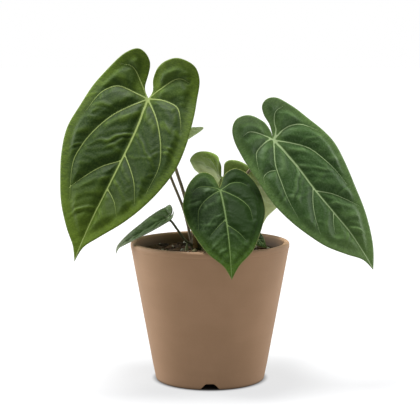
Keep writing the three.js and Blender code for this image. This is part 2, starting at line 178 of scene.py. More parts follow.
class Wire:
    """An output socket of a node tree that takes part in Python arithmetic."""

    def __init__(self, board: Board, socket: bpy.types.NodeSocket) -> None:
        """Wrap a socket of a board."""
        self.board = board
        self.socket = socket

    def maths(self, operation: str, *values: Wire | float) -> Wire:
        """Add a Math node whose first value is this socket."""
        return self.board.node("ShaderNodeMath", dict(enumerate((self, *values))), operation=operation)

    def __add__(self, other: Wire | float) -> Wire:
        """Add a value."""
        return self.maths("ADD", other)

    __radd__ = __add__

    def __sub__(self, other: Wire | float) -> Wire:
        """Take a value off."""
        return self.maths("SUBTRACT", other)

    def __rsub__(self, other: float) -> Wire:
        """Take this socket off a number."""
        return self.board.node("ShaderNodeMath", {0: other, 1: self}, operation="SUBTRACT")

    def __mul__(self, other: Wire | float) -> Wire:
        """Multiply by a value."""
        return self.maths("MULTIPLY", other)

    __rmul__ = __mul__

    def __truediv__(self, other: Wire | float) -> Wire:
        """Divide by a value."""
        return self.maths("DIVIDE", other)

    def __pow__(self, other: float) -> Wire:
        """Raise to a power."""
        return self.maths("POWER", other)

    def smooth(self, low: float, high: float) -> Wire:
        """Rise smoothly from 0 where this socket is low to 1 where it is high."""
        ends = {"Value": self, "From Min": low, "From Max": high}
        return self.board.node("ShaderNodeMapRange", ends, interpolation_type="SMOOTHSTEP")


class Board:
    """A node tree, with one method that adds any node."""

    def __init__(self, tree: bpy.types.NodeTree) -> None:
        """Start with an empty tree."""
        self.tree = tree
        tree.nodes.clear()

    def node(
        self,
        kind: str,
        inputs: dict[str | int, object] | None = None,
        output: str | int = 0,
        **settings: object,
    ) -> Wire:
        """Add a node, set it up and feed it.

        Args:
            kind: The node's type.
            inputs: A value or a wire for each input, by its name, identifier or place.
            output: The output to hand on, by its name or place.
            **settings: The node's own settings, which are made first.

        Returns:
            The chosen output.
        """
        made = self.tree.nodes.new(kind)
        for name, setting in settings.items():
            setattr(made, name, setting)
        for key, value in (inputs or {}).items():
            self.feed(self._socket(made.inputs, key), value)
        found = self._socket(made.outputs, output) if made.outputs else None
        return Wire(self, found)

    def feed(self, socket: bpy.types.NodeSocket, value: object) -> None:
        """Link a wire to a socket, or set the socket's own value.

        Args:
            socket: The input to feed.
            value: The wire, colour or value.
        """
        if isinstance(value, Wire):
            self.tree.links.new(value.socket, socket)
        elif isinstance(value, tuple) and socket.type == "RGBA":
            socket.default_value = (*value, 1.0)
        else:
            socket.default_value = value

    @staticmethod
    def _socket(sockets: Iterable[bpy.types.NodeSocket], key: str | int) -> bpy.types.NodeSocket:
        """Find a socket.

        Args:
            sockets: The sockets of one side of a node.
            key: Its place, the name of one that is in use, or its identifier.

        Returns:
            The socket.
        """
        sockets = list(sockets)
        if isinstance(key, int):
            return sockets[key]
        for socket in sockets:
            if key == socket.name and socket.enabled:
                return socket
        return next(socket for socket in sockets if key == socket.identifier)


class Paint(Board):
    """A material's node tree."""

    def __init__(self, name: str) -> None:
        """Make an empty material.

        Args:
            name: The material's name.
        """
        self.material = bpy.data.materials.new(name)
        self.material.use_nodes = True
        super().__init__(self.material.node_tree)

    def attribute(self, name: str) -> Wire:
        """Read a number that the mesh stores at each point."""
        return self.node("ShaderNodeAttribute", output="Fac", attribute_name=name)

    def place(self, stretch: Point = (1, 1, 1)) -> Wire:
        """Read the place on the object, in metres, stretched along each axis."""
        here = self.node("ShaderNodeTexCoord", output="Object")
        return self.node("ShaderNodeMapping", {"Vector": here, "Scale": stretch})

    def flat(self, stretch: Point = (1, 1, 1)) -> Wire:
        """Read the flat place on a blade or along a strand, in millimetres, stretched."""
        here = self.node("ShaderNodeAttribute", output="Vector", attribute_name="flat")
        return self.node("ShaderNodeVectorMath", {0: here, 1: stretch}, operation="MULTIPLY")

    def clouds(self, where: Wire, scale: float, detail: float = 2.0, roughness: float = 0.5) -> Wire:
        """Soft noise from 0 to 1."""
        inputs = {"Vector": where, "Scale": scale, "Detail": detail, "Roughness": roughness}
        return self.node("ShaderNodeTexNoise", inputs)

    def cells(self, where: Wire, scale: float, feature: str = "F1") -> Wire:
        """The distance to the nearest cell's centre, or to the nearest edge between cells."""
        inputs = {"Vector": where, "Scale": scale}
        return self.node("ShaderNodeTexVoronoi", inputs, "Distance", feature=feature)

    def mix(self, share: Wire | float, first: Wire | Colour, second: Wire | Colour) -> Wire:
        """Mix two colours, the second of which shows as much as the share says."""
        inputs = {"Factor_Float": share, "A_Color": first, "B_Color": second}
        return self.node("ShaderNodeMix", inputs, "Result_Color", data_type="RGBA")

    def bump(self, height: Wire, strength: float, distance: float, under: Wire | None = None) -> Wire:
        """Turn a height into a normal.

        Args:
            height: The height, from 0 to 1.
            strength: How strongly it shows.
            distance: The height's size in millimetres.
            under: The normal of a coarser bump that this one lies on.

        Returns:
            The normal.
        """
        inputs = {"Height": height, "Strength": strength, "Distance": distance * MM}
        if under is not None:
            inputs["Normal"] = under
        return self.node("ShaderNodeBump", inputs)

    def surface(self, **inputs: object) -> bpy.types.Material:
        """Feed the one shader that the material ends in.

        Args:
            **inputs: The shader's inputs, with underscores for the blanks in their names.

        Returns:
            The finished material.
        """
        fed = {name.replace("_", " "): value for name, value in inputs.items()}
        shader = self.node("ShaderNodeBsdfPrincipled", fed)
        self.node("ShaderNodeOutputMaterial", {"Surface": shader})
        return self.material


class Growth(Board):
    """A Geometry Nodes tree with named inputs."""

    def __init__(self, name: str) -> None:
        """Start a tree that takes and gives a geometry.

        Args:
            name: The tree's name.
        """
        super().__init__(bpy.data.node_groups.new(name, "GeometryNodeTree"))
        face = self.tree.interface
        face.new_socket("Geometry", in_out="INPUT", socket_type="NodeSocketGeometry")
        face.new_socket("Geometry", in_out="OUTPUT", socket_type="NodeSocketGeometry")
        self.entry = self.tree.nodes.new("NodeGroupInput")

    def size(self, name: str, kind: str = "Float") -> Wire:
        """Add a named input to the tree."""
        self.tree.interface.new_socket(name, in_out="INPUT", socket_type="NodeSocket" + kind)
        return Wire(self, self._socket(self.entry.outputs, name))

    def start(self) -> Wire:
        """The geometry that the tree works on."""
        return Wire(self, self.entry.outputs[0])

    def stored(
        self,
        shape: Wire,
        name: str,
        value: Wire,
        kind: str = "FLOAT",
        domain: str = "POINT",
    ) -> Wire:
        """Store a value at each point or instance of a geometry."""
        inputs = {"Geometry": shape, "Name": name, "Value": value}
        return self.node("GeometryNodeStoreNamedAttribute", inputs, data_type=kind, domain=domain)

    def read(self, name: str, kind: str = "FLOAT") -> Wire:
        """Read a value that is stored at each point."""
        return self.node("GeometryNodeInputNamedAttribute", {"Name": name}, "Attribute", data_type=kind)

    def end(self, shape: Wire, material: Wire) -> None:
        """Hand over what the tree has made, with its instances made real.

        Args:
            shape: What it has made.
            material: The material to give it.
        """
        real = self.node("GeometryNodeRealizeInstances", {"Geometry": shape})
        dressed = self.node("GeometryNodeSetMaterial", {"Geometry": real, "Material": material})
        self.node("NodeGroupOutput", {0: dressed})

    def grow(self, base: bpy.types.Mesh, name: str, **sizes: object) -> bpy.types.Mesh:
        """Run the tree on a mesh.

        Args:
            base: The mesh that the tree starts from; it is removed afterwards.
            name: The new mesh's name.
            **sizes: A value for each named input, with underscores for blanks.

        Returns:
            The plain mesh that the tree gives.
        """
        holder = bpy.data.objects.new(name + "_base", base)
        bpy.context.scene.collection.objects.link(holder)
        modifier = holder.modifiers.new("growth", "NODES")
        modifier.node_group = self.tree
        for item in self.tree.interface.items_tree:
            key = item.name.replace(" ", "_")
            if item.in_out == "INPUT" and key in sizes:
                modifier[item.identifier] = sizes[key]
        holder.update_tag()
        depsgraph = bpy.context.evaluated_depsgraph_get()
        mesh = bpy.data.meshes.new_from_object(holder.evaluated_get(depsgraph))
        mesh.name = name
        holder.modifiers.remove(modifier)
        bpy.data.objects.remove(holder)
        bpy.data.meshes.remove(base)
        return mesh


# Meshes


def mesh_of(
    name: str,
    points: np.ndarray,
    faces: Sequence[Sequence[int]],
    stored: dict[str, np.ndarray] | None = None,
    edges: Sequence[Sequence[int]] = (),
) -> bpy.types.Mesh:
    """Make a mesh from points in millimetres.

    Args:
        name: The mesh's name.
        points: The points, one row each.
        faces: The points of each face.
        stored: Numbers or vectors that are stored at each point.
        edges: The points of each loose edge.

    Returns:
        The mesh, in metres and smoothly shaded.
    """
    mesh = bpy.data.meshes.new(name)
    mesh.from_pydata((np.asarray(points) * MM).tolist(), list(edges), list(faces))
    for key, values in (stored or {}).items():
        vector = np.ndim(values) == 2
        layer = mesh.attributes.new(key, "FLOAT_VECTOR" if vector else "FLOAT", "POINT")
        layer.data.foreach_set("vector" if vector else "value", np.asarray(values, np.float32).ravel())
    mesh.shade_smooth()
    mesh.update()
    return mesh


def turned(profile: Sequence[Flat], angles: np.ndarray) -> tuple[np.ndarray, list[list[int]]]:
    """Turn a profile round the upright axis.

    Args:
        profile: Radius and height of each point, counterclockwise in that plane; both ends on the axis.
        angles: The angle of each column, in radians.

    Returns:
        The points, and the faces with their fronts outside.
    """
    rings = profile[1:-1]
    count = len(angles)
    points = [[r * math.cos(a), r * math.sin(a), z] for r, z in rings for a in angles]
    first, last = len(points), len(points) + 1
    points += [[0, 0, profile[0][1]], [0, 0, profile[-1][1]]]
    faces = []
    for k in range(count):
        after = (k + 1) % count
        faces.append([first, after, k])
        top = (len(rings) - 1) * count
        faces.append([last, top + k, top + after])
        for i in range(len(rings) - 1):
            low, high = i * count, (i + 1) * count
            faces.append([low + k, low + after, high + after, high + k])
    return np.array(points, float), faces


def settle(
    mesh: bpy.types.Mesh,
    material: bpy.types.Material,
    node: str,
    name: str | None = None,
) -> bpy.types.Object:
    """Make a mesh a piece of the plant that stands for a solid of the frame.

    Args:
        mesh: The piece's mesh.
        material: Its material.
        node: The solid that it replaces.
        name: The piece's name, if it isn't the solid's with an ending.

    Returns:
        The piece.
    """
    mesh.materials.clear()
    mesh.materials.append(material)
    piece = bpy.data.objects.new(name or node + "_grown", mesh)
    bpy.context.scene.collection.objects.link(piece)
    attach(piece, "root")
    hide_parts(node)
    log.info("%s: %d points, %d faces", piece.name, len(mesh.vertices), len(mesh.polygons))
    return piece


# Finishes


@dataclass(frozen=True)
class VelvetFinish:
    """The finish of a blade: velvety greens, pale veins and a fine margin, with a painted sheen on the
    ripples' crests and painted shade in their furrows.

    Its patches, speckle and fine network have their scales for each millimetre of the flat blade.
    """

    name: str
    deep_and_shade: Colour
    green: Colour
    sheen_and_speckle: Colour
    margin: Colour
    vein: Colour
    edge_line: Colour
    underside: Colour
    underside_deep: Colour
    underside_vein: Colour
    vein_strength: float = 0.72
    sheen_strength: float = 0.4
    band: float = 7.0
    shaded_half: float = 0.0
    shine_through: float = 0.0
    gloss: float = 0.13
    patch_scale: float = 0.05
    speckle_scale: float = 0.7
    network_scale: float = 0.42
    ripple_scale: float = 1.3
    ripple_stretch: Point = (1.0, 0.14, 1.0)

    def material(self) -> bpy.types.Material:
        """Build the blade's material.

        Returns:
            The material, which reads what the blade's mesh stores.
        """
        paint = Paint(self.name)
        flat = paint.flat()
        vein = paint.attribute("vein")
        crease = paint.attribute("crease")
        edge = paint.attribute("edge")
        upper = paint.attribute("upper")
        toward_tip = paint.attribute("toward_tip")
        patches = paint.clouds(flat, self.patch_scale, 3.0)
        speckle = paint.clouds(flat, self.speckle_scale, 4.0, 0.65)
        network = paint.cells(flat, self.network_scale, "DISTANCE_TO_EDGE")
        lines = 1 - network.smooth(0.0, 0.16)
        # Painted sheen: the crests between the side veins' furrows are lightened, in patches, towards a
        # greyish sheen colour.
        crest_sheen = crease.smooth(0.3, 1.0) * patches.smooth(0.35, 0.7)
        # Painted shade: the side veins' furrows take the deep colour and the swellings between them the
        # green.
        colour = paint.mix(crease.smooth(0.0, 0.8), self.deep_and_shade, self.green)
        colour = paint.mix(crest_sheen * self.sheen_strength, colour, self.sheen_and_speckle)
        wander = edge + 4.0 * patches - 2.0
        ripple = paint.clouds(paint.flat(self.ripple_stretch), self.ripple_scale).smooth(0.3, 0.7)
        border = (1 - wander.smooth(0.0, self.band * 1.6)) * (0.3 + 0.55 * ripple)
        colour = paint.mix(border, colour, self.margin)
        # Painted light: the blade turns toward the margin colour near its tip, standing in for the light
        # that the drooping tip catches.
        colour = paint.mix(toward_tip.smooth(0.45, 1.05) * 0.85, colour, self.margin)
        colour = paint.mix(lines * 0.22, colour, self.deep_and_shade)
        # Random speckle in the painted sheen's colour.
        colour = paint.mix(speckle.smooth(0.35, 0.75) * 0.16, colour, self.sheen_and_speckle)
        # Painted shade: one half of the blade beside the midrib is darkened towards the deep colour, less so
        # toward the tip.
        if self.shaded_half:
            across = paint.node("ShaderNodeSeparateXYZ", {0: flat}, 1)
            dark = across.smooth(-4.0, 7.0) * (1 - toward_tip.smooth(0.45, 0.8))
            colour = paint.mix(dark * self.shaded_half, colour, self.deep_and_shade)
        core = (1 - vein.smooth(0.45, 1.25)) * self.vein_strength
        halo = (1 - vein.smooth(0.8, 3.2)) * 0.25
        colour = paint.mix(halo, colour, self.margin)
        colour = paint.mix(core, colour, self.vein)
        rim = 1 - edge.smooth(0.15, 0.55)
        colour = paint.mix(rim * 0.75, colour, self.edge_line)
        back = paint.mix(patches.smooth(0.3, 0.75), self.underside, self.underside_deep)
        back = paint.mix(lines * 0.2, back, self.underside_vein)
        back = paint.mix(1 - vein.smooth(0.7, 2.2), back, self.underside_vein)
        back = paint.mix(rim * 0.6, back, self.underside_deep)
        if self.shine_through:
            thin = toward_tip.smooth(0.0, 0.2) * self.shine_through
            back = paint.mix(thin, back, self.underside_vein)
        colour = paint.mix(upper.smooth(0.2, 0.8), back, colour)
        grain = paint.bump(speckle, 0.35, 0.12)
        mesh_veins = paint.bump(network.smooth(0.0, 0.35), 0.4, 0.14, grain)
        normal = paint.bump(1 - vein.smooth(0.2, 1.7), 0.7, 0.35, mesh_veins)
        rough = 0.52 + 0.16 * speckle - core * 0.1
        return paint.surface(
            Base_Color=colour,
            Roughness=rough,
            Normal=normal,
            Sheen_Weight=0.02,
            Sheen_Roughness=0.4,
            Sheen_Tint=(0.82, 0.9, 0.76),
            Specular_IOR_Level=self.gloss,
        )


@dataclass(frozen=True)
class StrandFinish:
    """The finish of a petiole, root or stem: two colours in streaks along it, a third where it ages."""

    name: str
    first: Colour
    second: Colour
    aged: Colour
    aged_share: float = 0.25
    roughness: float = 0.5
    streak_scale: float = 1.3
    streak_stretch: Point = (0.12, 1.0, 1.0)
    blotch_scale: float = 210.0

    def material(self) -> bpy.types.Material:
        """Build the strand's material.

        Returns:
            The material, which reads what the strand's mesh stores.
        """
        paint = Paint(self.name)
        streaks = paint.clouds(paint.flat(self.streak_stretch), self.streak_scale, 4.0, 0.6)
        blotches = paint.clouds(paint.place(), self.blotch_scale, 4.0, 0.6)
        colour = paint.mix(streaks.smooth(0.35, 0.68), self.first, self.second)
        colour = paint.mix(blotches.smooth(0.52, 0.74) * self.aged_share, colour, self.aged)
        normal = paint.bump(streaks, 0.4, 0.12)
        return paint.surface(
            Base_Color=colour,
            Roughness=self.roughness + 0.2 * blotches,
            Normal=normal,
            Specular_IOR_Level=0.35,
        )


@dataclass(frozen=True)
class ChunkFinish:
    """The finish of bark or perlite: each chunk has its own shade."""

    name: str
    dark: Colour
    light: Colour
    fleck: Colour
    grain: float = 900.0
    roughness: float = 0.85

    def material(self) -> bpy.types.Material:
        """Build the chunk's material.

        Returns:
            The material, which reads each chunk's own shade from the mesh.
        """
        paint = Paint(self.name)
        shade = paint.attribute("shade")
        where = paint.place()
        grain = paint.clouds(where, self.grain, 5.0, 0.65)
        flecks = paint.cells(where, self.grain * 0.7)
        colour = paint.mix(shade, self.dark, self.light)
        colour = paint.mix(grain.smooth(0.35, 0.7) * 0.5, colour, self.dark)
        colour = paint.mix((1 - flecks.smooth(0.05, 0.22)) * 0.45, colour, self.fleck)
        normal = paint.bump(grain, 0.8, 0.35)
        return paint.surface(
            Base_Color=colour,
            Roughness=self.roughness,
            Normal=normal,
            Specular_IOR_Level=0.3,
        )


@dataclass(frozen=True)
class PotFinish:
    """The finish of the pot: a matt, faintly clouded and grained composite, with painted shade on the inner
    wall and a painted shadow on the foot's round.
    """

    name: str = "pot_taupe_matt"
    body: Colour = srgb(148, 116, 87)
    cloud: Colour = srgb(140, 109, 80)
    worn: Colour = srgb(162, 132, 104)
    # The colour of the painted shade on the inner wall and of the painted shadow on the foot's round; the
    # pores are flecked with it too.
    inside: Colour = srgb(76, 57, 37)
    ring_scale: float = 26.0
    cloud_scale: float = 38.0
    grain_scale: float = 1500.0
    pore_scale: float = 700.0
    inner_shade_share: float = 0.88

    def material(self) -> bpy.types.Material:
        """Build the pot's material.

        Returns:
            The material.
        """
        paint = Paint(self.name)
        where = paint.place()
        rings = paint.clouds(paint.place((1, 1, 6)), self.ring_scale, 3.0)
        clouds = paint.clouds(where, self.cloud_scale, 4.0)
        grain = paint.clouds(where, self.grain_scale, 3.0, 0.6)
        pores = paint.cells(where, self.pore_scale)
        wear = paint.attribute("wear")
        inside = paint.attribute("inside")
        colour = paint.mix(clouds.smooth(0.3, 0.7) * 0.7, self.body, self.cloud)
        colour = paint.mix(rings.smooth(0.4, 0.7) * 0.2, colour, self.cloud)
        colour = paint.mix(wear * (0.35 + 0.5 * grain), colour, self.worn)
        # Painted shade on the inner wall and painted shadow on the foot's round, from the stored inside
        # mask.
        colour = paint.mix(inside * self.inner_shade_share, colour, self.inside)
        colour = paint.mix((1 - pores.smooth(0.02, 0.14)) * 0.25, colour, self.inside)
        fine = paint.bump(grain, 0.35, 0.12)
        normal = paint.bump(rings, 0.18, 0.3, fine)
        return paint.surface(
            Base_Color=colour,
            Roughness=0.62 + 0.16 * grain,
            Normal=normal,
            Specular_IOR_Level=0.3,
        )


GREEN = VelvetFinish(
    name="blade_velvet_green",
    deep_and_shade=srgb(24, 44, 2),
    green=srgb(58, 78, 12),
    sheen_and_speckle=srgb(96, 112, 54),
    margin=srgb(82, 102, 22),
    vein=srgb(142, 156, 92),
    edge_line=srgb(110, 124, 66),
    underside=srgb(128, 148, 92),
    underside_deep=srgb(98, 122, 66),
    underside_vein=srgb(158, 172, 116),
    gloss=0.1,
)
BLUE_GREEN = VelvetFinish(
    name="blade_velvet_blue_green",
    deep_and_shade=srgb(38, 64, 20),
    green=srgb(70, 96, 48),
    sheen_and_speckle=srgb(118, 136, 106),
    margin=srgb(88, 114, 56),
    vein=srgb(156, 176, 128),
    edge_line=srgb(108, 126, 78),
    underside=srgb(154, 172, 108),
    underside_deep=srgb(122, 144, 78),
    underside_vein=srgb(178, 190, 138),
    vein_strength=0.85,
)
# The front and inner blades: the velvet finish with one half in painted shade and a strong painted sheen.
HALF_SHADED_GREEN = VelvetFinish(
    name="blade_velvet_dark",
    deep_and_shade=srgb(24, 44, 8),
    green=srgb(64, 88, 46),
    sheen_and_speckle=srgb(108, 126, 98),
    margin=srgb(64, 92, 22),
    vein=srgb(112, 134, 80),
    edge_line=srgb(124, 130, 74),
    underside=srgb(124, 146, 94),
    underside_deep=srgb(94, 118, 66),
    underside_vein=srgb(156, 172, 120),
    sheen_strength=1.0,
    band=4.5,
    shaded_half=0.95,
    gloss=0.06,
)
# Painted sheen: the low blade's greens are greyed to stand in for the glossy sheen over it.
SHEEN_GREYED_GREEN = VelvetFinish(
    name="blade_grey_green",
    deep_and_shade=srgb(62, 84, 44),
    green=srgb(92, 118, 68),
    sheen_and_speckle=srgb(140, 154, 124),
    margin=srgb(106, 114, 90),
    vein=srgb(124, 138, 100),
    edge_line=srgb(96, 92, 84),
    underside=srgb(124, 146, 94),
    underside_deep=srgb(94, 118, 66),
    underside_vein=srgb(156, 172, 120),
    vein_strength=0.4,
    sheen_strength=0.6,
    band=2.5,
)
PALE_GREEN = VelvetFinish(
    name="blade_young_pale",
    deep_and_shade=srgb(70, 92, 36),
    green=srgb(92, 116, 52),
    sheen_and_speckle=srgb(118, 140, 84),
    margin=srgb(104, 130, 62),
    vein=srgb(150, 166, 104),
    edge_line=srgb(112, 122, 74),
    underside=srgb(134, 154, 82),
    underside_deep=srgb(94, 118, 40),
    underside_vein=srgb(162, 176, 118),
    band=4.0,
    shine_through=0.8,
)
BROWN_STALK = StrandFinish("petiole_brown", srgb(98, 86, 68), srgb(124, 112, 88), srgb(76, 64, 52))
OLIVE_STALK = StrandFinish("petiole_olive", srgb(66, 66, 40), srgb(84, 88, 52), srgb(58, 46, 34))
PALE_STALK = StrandFinish("petiole_pale", srgb(128, 142, 84), srgb(148, 160, 106), srgb(104, 104, 64))
STEM_BARK = StrandFinish("stem_bark", srgb(52, 48, 26), srgb(70, 64, 38), srgb(40, 32, 22), 0.5, 0.75)
ROOT_SKIN = StrandFinish("root_skin", srgb(132, 126, 92), srgb(108, 100, 68), srgb(84, 74, 50), 0.5, 0.8)
BUD_SKIN = StrandFinish("bud_skin", srgb(138, 148, 106), srgb(110, 122, 78), srgb(120, 92, 70), 0.45, 0.6)
DRY_BRACT = StrandFinish("bract_dry", srgb(112, 88, 56), srgb(140, 116, 78), srgb(74, 56, 38), 0.6, 0.8)
PEAT = ChunkFinish("mix_peat", srgb(34, 24, 14), srgb(56, 42, 26), srgb(78, 62, 40), 420.0, 0.95)
BARK = ChunkFinish("mix_bark", srgb(40, 27, 15), srgb(92, 66, 40), srgb(116, 90, 58))
PERLITE = ChunkFinish(
    "mix_perlite", srgb(150, 148, 134), srgb(196, 194, 182), srgb(120, 116, 100), 1300.0, 0.9
)


# The pot


@dataclass
class Pot:
    """The tapered pot: rim band, rounded lip, foot ring with four notches, drained floor.

    Each point of the band's step lies so far inside the rim's radius and above the crease. The wall's rows
    stay clear of the foot's round and the crease, and the inside's of the rim and the floor. The notches
    fade out at their reach. The lip is worn down to the wear's depth, the foot's bottom round gets a painted
    shadow between two heights, and the inner wall gets painted shade between two depths below the rim.
    """

    height: float = 105.0
    rim_radius: float = 60.0
    rim_band: float = 4.4
    rim_crease: float = 0.35
    band_step: Line = ((0.49, -0.05), (0.2, 0.25), (0.0, 0.8))
    base_radius: float = 41.4
    wall: float = 4.0
    wall_rows: int = 12
    wall_clear: Flat = (1.4, 0.9)
    inside_rows: int = 8
    inside_clear: Flat = (6.0, 4.5)
    lip_width: float = 4.5
    lip_round: float = 1.6
    foot_round: float = 1.3
    foot_width: float = 5.0
    edge_round: float = 0.5
    corner_round: float = 3.0
    underside_lift: float = 5.0
    floor_thickness: float = 3.4
    centre_pad: float = 9.0
    notches: int = 4
    notch_width: float = 14.6
    notch_top_width: float = 5.0
    notch_height: float = 4.8
    notch_swell: float = 1.25
    notch_reach: float = 9.0
    notch_columns: int = 31
    drain_holes: int = 6
    drain_radius: float = 4.0
    drain_circle: float = 24.0
    drill_length: float = 12.0
    drill_drop: float = 2.0
    columns: int = 216
    wear_depth: float = 1.4
    foot_shadow: Flat = (0.4, 1.8)
    inside_dark: Flat = (0.9, 2.6)
    finish: PotFinish = field(default_factory=PotFinish)

    @property
    def crease(self) -> float:
        """Height of the rim band's lower edge."""
        return self.height - self.rim_band

    @property
    def floor(self) -> float:
        """Height of the inner floor."""
        return self.underside_lift + self.floor_thickness

    def outer(self, z: float) -> float:
        """Radius of the wall's outside below the rim band."""
        return self.base_radius + (self.rim_radius - self.rim_crease - self.base_radius) * z / self.crease

    def inner(self, z: float) -> float:
        """Radius of the wall's inside."""
        low, high = self.outer(self.floor) - self.wall, self.rim_radius - self.lip_width
        return low + (high - low) * (z - self.floor) / (self.height - self.lip_round - self.floor)

    @staticmethod
    def _round(r: float, z: float, radius: float, start: float, end: float, steps: int) -> list[Flat]:
        """Points of a round from one angle to another, in degrees."""
        turns = [math.radians(start + (end - start) * i / steps) for i in range(steps + 1)]
        return [(r + radius * math.cos(t), z + radius * math.sin(t)) for t in turns]

    def profile(self) -> list[Flat]:
        """Draw the pot's section.

        Returns:
            Radius and height of its points, from the underside's centre round the lip to the floor's.
        """
        foot, lip = self.base_radius - self.foot_width, self.rim_radius - self.lip_width
        edge, turn, corner = self.edge_round, self.lip_round, self.corner_round
        crease, top, bottom = self.crease, self.height - turn, self.floor + corner
        over_foot, under_crease = self.wall_clear
        wall = np.linspace(self.foot_round + over_foot, crease - under_crease, self.wall_rows)
        under_rim, over_floor = self.inside_clear
        inside = np.linspace(self.height - under_rim, self.floor + over_floor, self.inside_rows)
        return [
            (0, 0),
            (self.centre_pad - edge, 0),
            *self._round(self.centre_pad - edge, edge, edge, -90, 0, 2),
            (self.centre_pad, self.underside_lift),
            (foot, self.underside_lift),
            (foot, edge),
            *self._round(foot + edge, edge, edge, 180, 270, 3)[1:],
            *self._round(self.base_radius - self.foot_round, self.foot_round, self.foot_round, -90, 0, 6),
            *((self.outer(z), z) for z in wall),
            (self.outer(crease - self.rim_crease), crease - self.rim_crease),
            *((self.rim_radius - inset, crease + rise) for inset, rise in self.band_step),
            *self._round(self.rim_radius - turn, top, turn, 0, 90, 7),
            *self._round(lip + turn, top, turn, 90, 180, 7),
            *((self.inner(z), z) for z in inside),
            *self._round(self.inner(bottom) - corner, bottom, corner, 0, -90, 5),
            (0, self.floor),
        ]

    def notch(self, across: float) -> float:
        """Work out the height of a notch's ceiling.

        Args:
            across: The distance from the notch's middle.

        Returns:
            The height there, which is 0 beside the notch.
        """
        half, top = self.notch_width / 2, self.notch_top_width / 2
        share = min(max((half - abs(across)) / (half - top), 0.0), 1.0)
        return self.notch_height * (1 - (1 - share) ** self.notch_swell)

    def angles(self) -> np.ndarray:
        """Choose the columns' angles, which crowd together across the notches.

        Returns:
            The angles in rising order, in radians.
        """
        full = 2 * math.pi
        half = self.notch_width / 2 / self.base_radius
        crowd = np.linspace(-1.05 * half, 1.05 * half, self.notch_columns)
        middles = once_round(self.notches)
        gaps = [min(abs(math.remainder(a - m, full)) for m in middles) for a in once_round(self.columns)]
        plain = once_round(self.columns)[np.array(gaps) > 1.1 * half]
        crowded = [(middle + angle) % full for middle in middles for angle in crowd]
        return np.array(sorted({round(a, 9) for a in [*plain, *crowded]}))

    def build(self) -> bpy.types.Mesh:
        """Turn the section, raise the notches and drill the floor.

        Returns:
            The pot's mesh.
        """
        points, faces = turned(self.profile(), self.angles())
        radius, height = np.hypot(points[:, 0], points[:, 1]), points[:, 2].copy()
        angle = np.arctan2(points[:, 1], points[:, 0])
        apart = 2 * math.pi / self.notches
        across = radius * np.sin(angle - np.round(angle / apart) * apart)
        lift = np.array([self.notch(x) for x in across])
        foot = radius > self.base_radius - self.foot_width - self.edge_round
        reach = np.where(height <= self.underside_lift, self.underside_lift, self.notch_reach)
        raised = lift + height * (reach - lift) / reach
        height = points[:, 2] = np.where(foot & (height < reach), raised, height)
        inside = self._inside(radius, height)
        wear = smooth(self.height - self.wear_depth, self.height, height) * (1 - inside)
        # Painted shadow: the foot's bottom round darkens between two heights, joined with the inner wall's
        # painted shade.
        painted_shade = np.maximum(inside, 1 - smooth(*self.foot_shadow, height))
        mesh = mesh_of("pot_shell", points, faces, {"inside": painted_shade, "wear": wear})
        return self._drilled(mesh)

    def _inside(self, radius: np.ndarray, height: np.ndarray) -> np.ndarray:
        """Work out the painted shade on the pot's inner wall.

        Args:
            radius: Each point's distance from the axis.
            height: Its height.

        Returns:
            How much painted shade it takes, from 0 outside and on the lip to 1 below it.
        """
        middle = np.array([(self.outer(z) + self.inner(z)) / 2 for z in height])
        within = (radius < middle) & (height > self.floor - self.edge_round)
        return within * smooth(*self.inside_dark, self.height - height)

    def _drilled(self, mesh: bpy.types.Mesh) -> bpy.types.Mesh:
        """Drill the drain holes through the floor.

        Args:
            mesh: The pot's mesh, which is removed.

        Returns:
            The drilled mesh.
        """
        cutter = bmesh.new()
        for turn in once_round(self.drain_holes) + math.pi / self.drain_holes:
            spot = Vector((math.cos(turn), math.sin(turn), 0)) * self.drain_circle
            spot.z = self.floor - self.drill_drop
            bmesh.ops.create_cone(
                cutter,
                cap_ends=True,
                segments=36,
                radius1=self.drain_radius * MM,
                radius2=self.drain_radius * MM,
                depth=self.drill_length * MM,
                matrix=Matrix.Translation(spot * MM),
            )
        drill_mesh = bpy.data.meshes.new("drain_drill")
        cutter.to_mesh(drill_mesh)
        cutter.free()
        drill = bpy.data.objects.new("drain_drill", drill_mesh)
        body = bpy.data.objects.new("pot_blank", mesh)
        for made in (drill, body):
            bpy.context.scene.collection.objects.link(made)
        cut = body.modifiers.new("drains", "BOOLEAN")
        cut.operation, cut.solver, cut.object = "DIFFERENCE", "EXACT", drill
        depsgraph = bpy.context.evaluated_depsgraph_get()
        drilled = bpy.data.meshes.new_from_object(body.evaluated_get(depsgraph))
        for made, data in ((drill, drill_mesh), (body, mesh)):
            bpy.data.objects.remove(made)
            bpy.data.meshes.remove(data)
        return drilled

    def dress(self) -> bpy.types.Object:
        """Build the pot and give it its finish."""
        return settle(self.build(), self.finish.material(), "pot")


# The potting mix


@dataclass(frozen=True)
class Chunks:
    """One kind of loose piece, about 1 mm across before it is scaled, and how it is strewn.

    It has the number of its shapes, how much of a ball's size is left along each axis, the least
    distance between two pieces, their number on a square metre, their smallest and largest scale, how
    far they tilt and how far they rise above the bed.
    """

    kind: str
    finish: ChunkFinish
    shapes: int
    flatness: Point
    spacing: float
    density: float
    smallest: float
    largest: float
    tilt: float
    rise: float
    jolt: float = 0.28

    def shape(self, index: int) -> bpy.types.Object:
        """Make one of the kind's shapes.

        Args:
            index: Which shape it is.

        Returns:
            An object that holds the shape's mesh.
        """
        draw = random.Random(f"{self.kind}{index}")
        made = bmesh.new()
        bmesh.ops.create_icosphere(made, subdivisions=1, radius=0.5 * MM)
        for vert in made.verts:
            jolt = 1 + draw.uniform(-self.jolt, self.jolt)
            vert.co = Vector([c * f * jolt for c, f in zip(vert.co, self.flatness)])
        data = bpy.data.meshes.new(f"{self.kind}_{index}")
        made.to_mesh(data)
        made.free()
        return bpy.data.objects.new(data.name, data)


